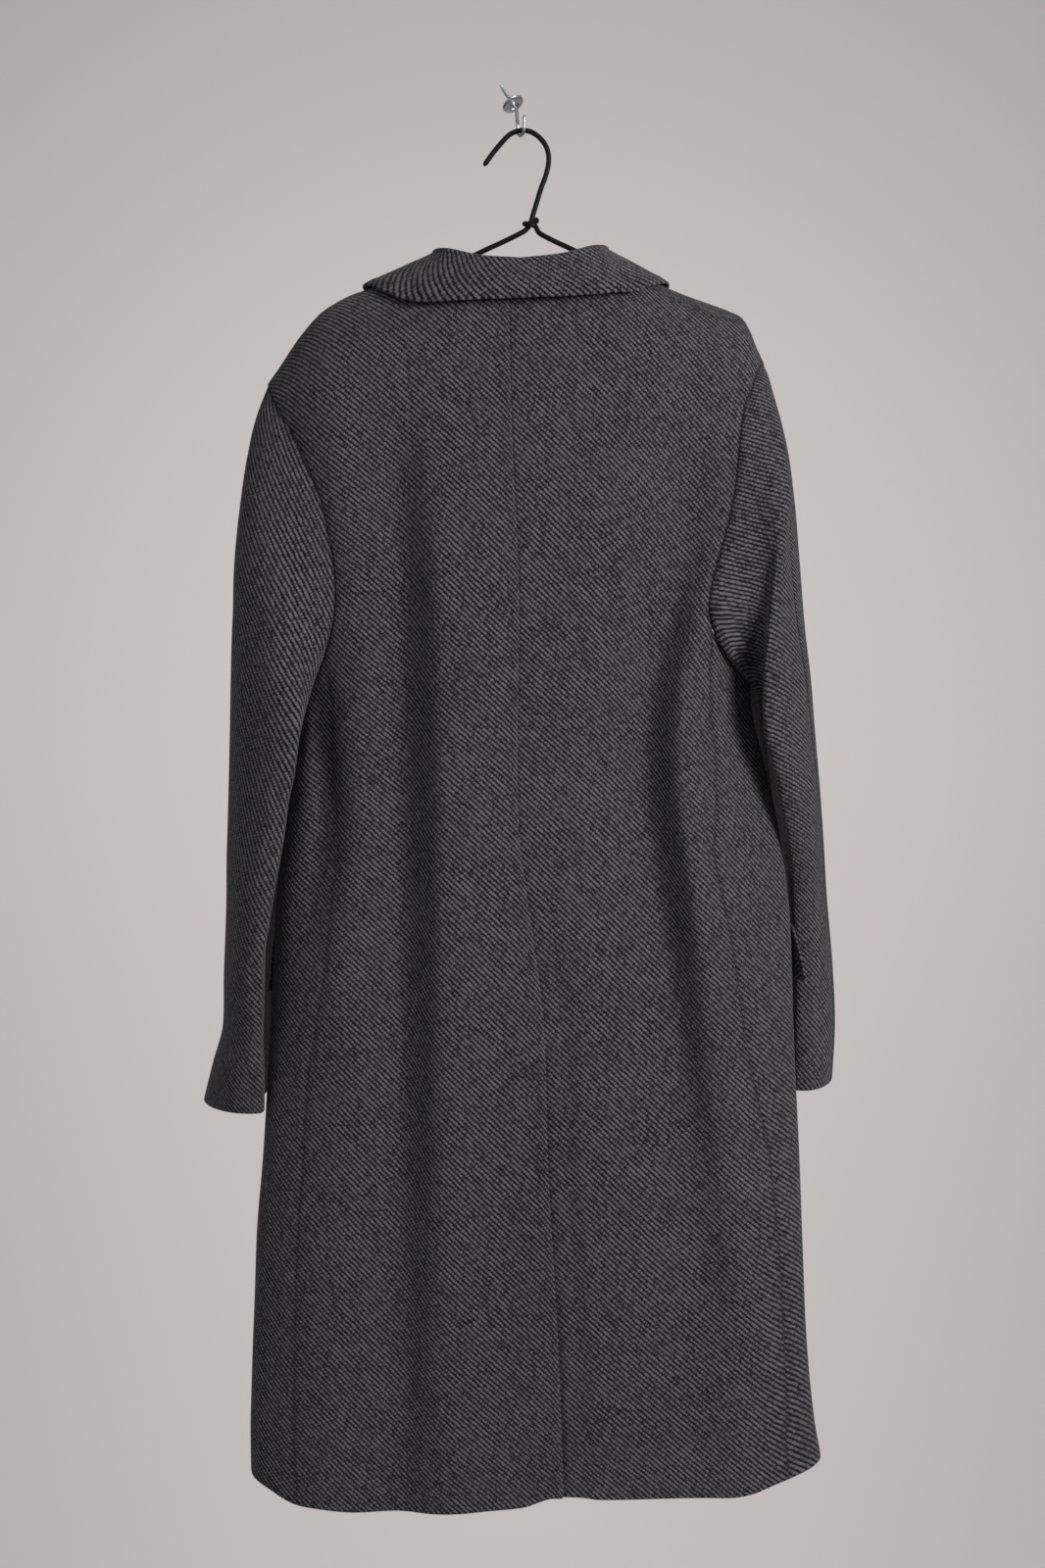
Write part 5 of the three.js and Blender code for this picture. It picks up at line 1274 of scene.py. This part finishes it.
def finish_hard(piece, name, material, slot, *nodes):
    piece.name = piece.data.name = name
    piece.data.materials.clear()
    piece.data.materials.append(material)
    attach(piece, "root")
    if nodes:
        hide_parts(*nodes)


def along(points, spacing):
    """Points at even distances on a smooth curve through the given ones, in millimetres."""
    points = np.asarray(points, float)
    keys = np.concatenate([[0], np.cumsum(np.linalg.norm(np.diff(points, axis=0), axis=1))])
    t = np.linspace(0, keys[-1], max(int(keys[-1] / spacing), 2) + 1)
    return np.stack([through(keys, points[:, k])(t) for k in range(3)], -1)


def wire(points, radius, taper=None):
    """A round wire along points, made from a path with a bevel and turned into a mesh."""
    select()
    bpy.ops.curve.primitive_nurbs_path_add()
    path = bpy.context.object
    curve = path.data
    curve.splines.clear()
    spline = curve.splines.new("POLY")
    spline.points.add(len(points) - 1)
    for k, (point, p) in enumerate(zip(spline.points, points)):
        point.co = (*(p * MM), 1)
        point.radius = 1 if taper is None else taper(k / (len(points) - 1))
    curve.dimensions = "3D"
    curve.bevel_depth = radius * MM
    curve.bevel_resolution = 5
    curve.use_fill_caps = True
    bpy.ops.object.convert(target="MESH")
    piece = bpy.context.object
    bpy.ops.object.mode_set(mode="EDIT")
    bpy.ops.mesh.select_all(action="SELECT")
    bpy.ops.mesh.remove_doubles(threshold=1e-6)
    bpy.ops.mesh.normals_make_consistent(inside=False)
    bpy.ops.object.mode_set(mode="OBJECT")
    bpy.ops.object.shade_smooth_by_angle(angle=math.radians(50))
    place_mesh(piece)
    return piece


HANGER_X, HANGER_NECK_Z = 15.0, -109.0
HANGER_HOOK = [
    (-25.5, -57), (-17.5, -46), (-10, -37.2), (-3, -30.2), (4, -27), (10, -26.2), (17, -27.8), (24, -32.6),
    (29.4, -39.5), (32, -48), (31.6, -57), (29, -67), (25.2, -77), (21.2, -90), (18.4, -99), (15.6, -108),
]
HANGER_ARM = [(5, 5.4), (46, 25), (95, 50), (140, 69.5), (181, 86.5)]
BEND_OUT, BEND_DROP, BEND = 178.0, 97.0, 10.0
TWIST_RADIUS, TWIST_TURNS, TWIST_PITCH, TWIST_FOOT = 2 * HANGER_WIRE + 0.4, 1.1, 5.3, -110.5


def hanger_path():
    stem = [(x, PLANE_Y, z) for x, z in HANGER_HOOK]
    bends = [(BEND_OUT + BEND * math.cos(a), BEND_DROP - BEND * math.sin(a))
             for a in map(math.radians, (45, 15, -15, -45, -72, -90))]
    arm, corner = ({sign: [(HANGER_X + sign * out, PLANE_Y, HANGER_NECK_Z - drop) for out, drop in line]
                    for sign in (-1, 1)} for line in (HANGER_ARM, bends))
    bar = [(HANGER_X + x, PLANE_Y, HANGER_NECK_Z - BEND_DROP - BEND) for x in (-100, 0, 100)]
    hook = np.array(HANGER_HOOK)
    stem_x = through(hook[9:, 1], hook[9:, 0])
    twist = []
    for turn in np.linspace(0, TWIST_TURNS, 13):
        z = TWIST_FOOT + TWIST_PITCH * turn
        a = FULL_TURN * turn
        twist.append((float(stem_x(z)) + TWIST_RADIUS * math.cos(a), PLANE_Y - TWIST_RADIUS * math.sin(a), z))
    return [*stem, *arm[-1], *corner[-1], *bar, *corner[1][::-1], *arm[1][:0:-1],
            (HANGER_X + 9.5, PLANE_Y, HANGER_NECK_Z - 7.4), *twist]


INTO_ROOM = unit(np.array([0.4765, -0.4359, -0.7635]))
EYE = np.array([7.5, PLANE_Y, -23.5])
EYE_RADIUS, EYE_TIP, SHANK, THREAD_TURNS, THREAD_POINTS = 7.5, 9.0, 24.0, 11, 200


def hook_path():
    """The hook's wire from the flange's face to its tip."""
    back = unit(np.array([-0.39, 0.92, 0]))
    arc = [EYE + back * EYE_RADIUS * math.cos(math.radians(a)) - [0, 0, EYE_RADIUS * math.sin(math.radians(a))]
           for a in range(0, 181, 12)]
    start = arc[0]
    neck = mix(start, INTO_ROOM * 8, 0.45) - [0, 0, 1]
    return [INTO_ROOM * -1, INTO_ROOM * 3, INTO_ROOM * 6.5, neck, start + [0, 0, 3.5], *arc,
            arc[-1] + [0, 0, EYE_TIP / 2], arc[-1] + [0, 0, EYE_TIP]]


def build_hook():
    """The hook with its threaded shank, and the flange."""
    zinc = plain_material("zinc plate", tuple(settings().zinc_color), 0.34, 1.0, 0.25, 0.00008, 1400.0)
    curve = wire(along(hook_path(), 0.7), HOOK_WIRE, lambda t: 1 - 0.35 * max(0, (t - 0.965) / 0.035) ** 2)
    core = cylinder(24, 1.25, SHANK, (0, 0, -SHANK / 2))
    edit_where(core, "vertices", lambda vertex: vertex.co.z < 0)
    bpy.ops.transform.resize(value=(0.3, 0.3, 1))
    bpy.ops.object.mode_set(mode="OBJECT")
    place_mesh(core)
    ridge_points = []
    for k in range(THREAD_POINTS + 1):
        a, down = FULL_TURN * THREAD_TURNS * k / THREAD_POINTS, 1.5 + (SHANK - 3) * k / THREAD_POINTS
        r = 1.35 * (1 - max(0, (down - SHANK + 6) / 7))
        ridge_points.append((r * math.cos(a), r * math.sin(a), -down))
    thread = wire(np.array(ridge_points), 0.28)
    for part in (core, thread):
        part.data.transform(facing(INTO_ROOM))
    finish_hard(join(curve, core, thread), "zinc_hook", zinc, "zinc_plate", "hook_wire")

    flange = cylinder(64, FLANGE_RADIUS, 0.9, (0, 0, 0.45))
    inset(flange, lambda face: face.normal.z > 0.9, ((1.0, 0.75), (3.9, 0.4), (0.7, -0.9), (1.4, 0), (0.5, 1.3)))
    round_edges(flange, 0.25)
    bpy.ops.object.shade_smooth_by_angle(angle=math.radians(40))
    place_mesh(flange)
    flange.data.transform(facing(INTO_ROOM))
    finish_hard(flange, "zinc_flange", zinc, "zinc_plate", "hook_flange")


def build_hanger():
    """The hanger, one coated wire from the hook's tip to the twist at its neck."""
    coated = plain_material("black plastic coating", tuple(settings().hanger_color), 0.5, 0.0, 0.1, 0.00012, 1100.0,
                            shine=0.22)
    piece = wire(along(hanger_path(), 1.6), HANGER_WIRE, lambda t: 1 - 0.5 * max(0, 1 - t / 0.004) ** 2)
    finish_hard(piece, "coated_hanger", coated, "coated_wire", "hanger_wire")


BUTTON_Z, BUTTON_RADIUS, HOLE_OUT = (-492.0, -612.0, -732.0), 14.0, 2.4


def build_buttons():
    """A four-hole button with its thread, modelled once and copied onto each buttonhole."""
    horn = plain_material("dark horn", tuple(settings().button_color), 0.3, 0.0, 0.5, 0.00006, 260.0, 0.3)
    button = cylinder(48, BUTTON_RADIUS, 3.6, (0, 0, 1.8))
    # The whole closed surface is selected, so these steps draw it in by half a millimetre.
    inset(button, lambda face: True, ((1.0, 0.6), (1.9, 0), (1.2, -1.3), (5.0, 0.2)))
    round_edges(button, 0.5)
    for x, y in ((1, 1), (-1, 1), (-1, -1), (1, -1)):
        drill = cylinder(16, 1.0, 12, (x * HOLE_OUT, y * HOLE_OUT, 2))
        select(button)
        apply_modifier(button, "BOOLEAN", operation="DIFFERENCE", solver="EXACT", object=drill)
        bpy.data.objects.remove(drill)
    bpy.ops.object.shade_smooth_by_angle(angle=math.radians(35))
    thread_look = plain_material("black thread", (0.012, 0.012, 0.014), 0.8, 0.0, 0.1, 0.0002, 2500.0)
    stitch = [(-2.4, 1.0), (-2.2, 3.5), (-1.2, 4.15), (1.2, 4.15), (2.2, 3.5), (2.4, 1.0)]
    thread = join(*(wire(along([(x, sign * HOLE_OUT + offset, z) for x, z in stitch], 0.5), 0.24)
                    for sign in (-1, 1) for offset in (-0.45, 0, 0.45)))
    for index, z in enumerate(BUTTON_Z):
        x = (front_edge(-1, z) + front_edge(1, z)) / 2
        on, normal = laid("left", x, z, LAID_GAP + 0.2)
        move = Matrix.Translation(Vector(on * MM)) @ facing(normal)
        for source, name, look, nodes in ((button, f"horn_button_{index + 1}", horn, (f"button_{index + 1}",)),
                                          (thread, f"button_thread_{index + 1}", thread_look, ())):
            copy = bpy.data.objects.new(name, source.data.copy())
            bpy.context.scene.collection.objects.link(copy)
            copy.data.transform(move)
            finish_hard(copy, name, look, "button_horn", *nodes)
    for source in (button, thread):
        bpy.data.objects.remove(source)


# ------------------------------------------------------------------ stage
CAMERA_PLACE, CAMERA_PITCH, LENS = (0.0088, -2.060, -0.433), 4.92, 51.75
LIGHTS = (  # place, what it shines on, size in metres, share of the key light's power, colour
    ("window", (1.78, -2.05, 0.2), (0, 0, -0.65), 1.0, 1.0, (1.0, 0.985, 0.96)),
    ("room", (-1.8, -2.2, 0.6), (0, 0, -0.7), 2.0, 0.14, (0.95, 0.97, 1.0)),
    ("wall", (0, 1.6, -0.8), (0, 9.0, -0.7), 3.0, 8.5, (1.0, 0.975, 0.96)),
)


def build_stage():
    """A floor that turns up into a wall, the lights and the camera."""
    scene = bpy.context.scene
    select()
    bpy.ops.mesh.primitive_plane_add(size=14, location=(0, 2.0, -6.0))
    floor = bpy.context.object
    floor.name = "stage_floor"
    edit_where(floor, "edges", lambda line: all(floor.data.vertices[v].co.y > 6.9 for v in line.vertices))
    bpy.ops.mesh.extrude_region_move(TRANSFORM_OT_translate={"value": (0, 0, 12)})
    bpy.ops.object.mode_set(mode="OBJECT")
    apply_modifier(floor, "BEVEL", width=4.0, segments=24)
    bpy.ops.object.shade_smooth_by_angle(angle=math.radians(60))
    plaster = Shader("stage plaster")
    plaster.set(Base_Color=(*settings().stage_color, 1), Roughness=0.9)
    floor.data.materials.append(plaster.material)
    scene.world = bpy.data.worlds.new("studio")
    scene.world.use_nodes = True
    background = scene.world.node_tree.nodes["Background"].inputs
    background["Color"].default_value = (0.93, 0.93, 0.96, 1)
    background["Strength"].default_value = settings().fill_light
    for name, place, aim, size, share, color in LIGHTS:
        select()
        bpy.ops.object.light_add(type="AREA", location=place)
        light = bpy.context.object
        light.name = f"light_{name}"
        light.data.size, light.data.energy, light.data.color = size, settings().key_light * share, color
        light.rotation_euler = (Vector(aim) - Vector(place)).to_track_quat("-Z", "Y").to_euler()
    select()
    bpy.ops.object.camera_add(location=CAMERA_PLACE, rotation=(math.radians(90 - CAMERA_PITCH), 0, 0))
    camera = bpy.context.object
    camera.data.sensor_fit, camera.data.sensor_height = "VERTICAL", 36
    camera.data.lens, camera.data.clip_end = LENS, 60
    scene.camera = camera
    scene.view_settings.view_transform = "Standard"


# ------------------------------------------------------------------ the add-on
class CoatSettings(bpy.types.PropertyGroup):
    cloth_thickness: FloatProperty(name="Cloth thickness", description="Thickness of the wool cloth",
                                   default=0.0024, min=0.001, max=0.006, unit="LENGTH")
    twill_pitch: FloatProperty(name="Twill pitch", description="Distance from one twill line to the next",
                               default=0.0038, min=0.001, max=0.01, unit="LENGTH")
    wool_dark: FloatVectorProperty(name="Wool, dark yarn", description="Colour between the twill lines",
                                   default=(0.006, 0.006, 0.007), min=0, max=1, subtype="COLOR")
    wool_light: FloatVectorProperty(name="Wool, light yarn", description="Colour of the twill lines",
                                    default=(0.198, 0.185, 0.210), min=0, max=1, subtype="COLOR")
    wool_fleck: FloatVectorProperty(name="Wool, flecks", description="Colour of the pale grains",
                                    default=(0.34, 0.34, 0.35), min=0, max=1, subtype="COLOR")
    hanger_color: FloatVectorProperty(name="Hanger coating", description="Colour of the hanger's coating",
                                      default=(0.006, 0.0055, 0.0055), min=0, max=1, subtype="COLOR")
    zinc_color: FloatVectorProperty(name="Zinc", description="Colour of the hook's zinc plate",
                                    default=(0.62, 0.65, 0.69), min=0, max=1, subtype="COLOR")
    button_color: FloatVectorProperty(name="Buttons", description="Colour of the horn buttons",
                                      default=(0.022, 0.017, 0.014), min=0, max=1, subtype="COLOR")
    stage_color: FloatVectorProperty(name="Floor", description="Colour of the stage",
                                     default=(0.62, 0.59, 0.585), min=0, max=1, subtype="COLOR")
    key_light: FloatProperty(name="Key light", description="Power of the window light in watts",
                             default=50.0, min=0, max=1000)
    fill_light: FloatProperty(name="Fill light", description="Strength of the light from all round",
                              default=0.18, min=0, max=5)


class COAT_OT_stage(bpy.types.Operator):
    """Adds the floor, the lights and the camera"""
    bl_idname, bl_label, bl_options = "coat.stage", "Stage", {"REGISTER", "UNDO"}

    def execute(self, context):
        build_stage()
        return {"FINISHED"}


class COAT_OT_panels(bpy.types.Operator):
    """Builds the backs, the side panels and the fronts"""
    bl_idname, bl_label, bl_options = "coat.panels", "Body panels", {"REGISTER", "UNDO"}

    def execute(self, context):
        for side in SIDES:
            for part in PANEL_SHAPES:
                build_panel(part, side)
        return {"FINISHED"}


class COAT_OT_sleeves(bpy.types.Operator):
    """Builds both sleeves, each from a back and a front half"""
    bl_idname, bl_label, bl_options = "coat.sleeves", "Sleeves", {"REGISTER", "UNDO"}

    def execute(self, context):
        for side in SIDES:
            build_sleeve(side)
        return {"FINISHED"}


class COAT_OT_collar(bpy.types.Operator):
    """Builds the collar"""
    bl_idname, bl_label, bl_options = "coat.collar", "Collar", {"REGISTER", "UNDO"}

    def execute(self, context):
        build_collar()
        return {"FINISHED"}


class COAT_OT_front_pieces(bpy.types.Operator):
    """Builds the lapels and the pocket flaps"""
    bl_idname, bl_label, bl_options = "coat.front_pieces", "Lapels and flaps", {"REGISTER", "UNDO"}

    def execute(self, context):
        for side in SIDES:
            build_lapel(side)
            build_flap(side)
        return {"FINISHED"}


class COAT_OT_buttons(bpy.types.Operator):
    """Builds the buttons and the thread that holds them"""
    bl_idname, bl_label, bl_options = "coat.buttons", "Buttons", {"REGISTER", "UNDO"}

    def execute(self, context):
        build_buttons()
        return {"FINISHED"}


class COAT_OT_hanger(bpy.types.Operator):
    """Builds the wire hanger"""
    bl_idname, bl_label, bl_options = "coat.hanger", "Hanger", {"REGISTER", "UNDO"}

    def execute(self, context):
        build_hanger()
        return {"FINISHED"}


class COAT_OT_hook(bpy.types.Operator):
    """Builds the screw hook and its flange"""
    bl_idname, bl_label, bl_options = "coat.hook", "Screw hook", {"REGISTER", "UNDO"}

    def execute(self, context):
        build_hook()
        return {"FINISHED"}


STEPS = (COAT_OT_stage, COAT_OT_panels, COAT_OT_sleeves, COAT_OT_collar, COAT_OT_front_pieces, COAT_OT_buttons,
         COAT_OT_hanger, COAT_OT_hook)


class COAT_PT_panel(bpy.types.Panel):
    """Lists the sizes, the colours and the steps"""
    bl_idname, bl_label = "COAT_PT_panel", "Overcoat"
    bl_space_type, bl_region_type, bl_category = "VIEW_3D", "UI", "Overcoat"

    def draw(self, context):
        for name in CoatSettings.__annotations__:
            self.layout.prop(context.scene.coat_settings, name)
        for step in STEPS:
            self.layout.operator(step.bl_idname)


CLASSES = (CoatSettings, *STEPS, COAT_PT_panel)


def register():
    for each in CLASSES:
        bpy.utils.register_class(each)
    bpy.types.Scene.coat_settings = PointerProperty(type=CoatSettings)


def unregister():
    del bpy.types.Scene.coat_settings
    for each in reversed(CLASSES):
        bpy.utils.unregister_class(each)


def main():
    register()
    bpy.ops.coat.stage()
    bpy.ops.coat.panels()
    bpy.ops.coat.sleeves()
    bpy.ops.coat.collar()
    bpy.ops.coat.front_pieces()
    bpy.ops.coat.buttons()
    bpy.ops.coat.hanger()
    bpy.ops.coat.hook()


if __name__ == "__main__":
    main()
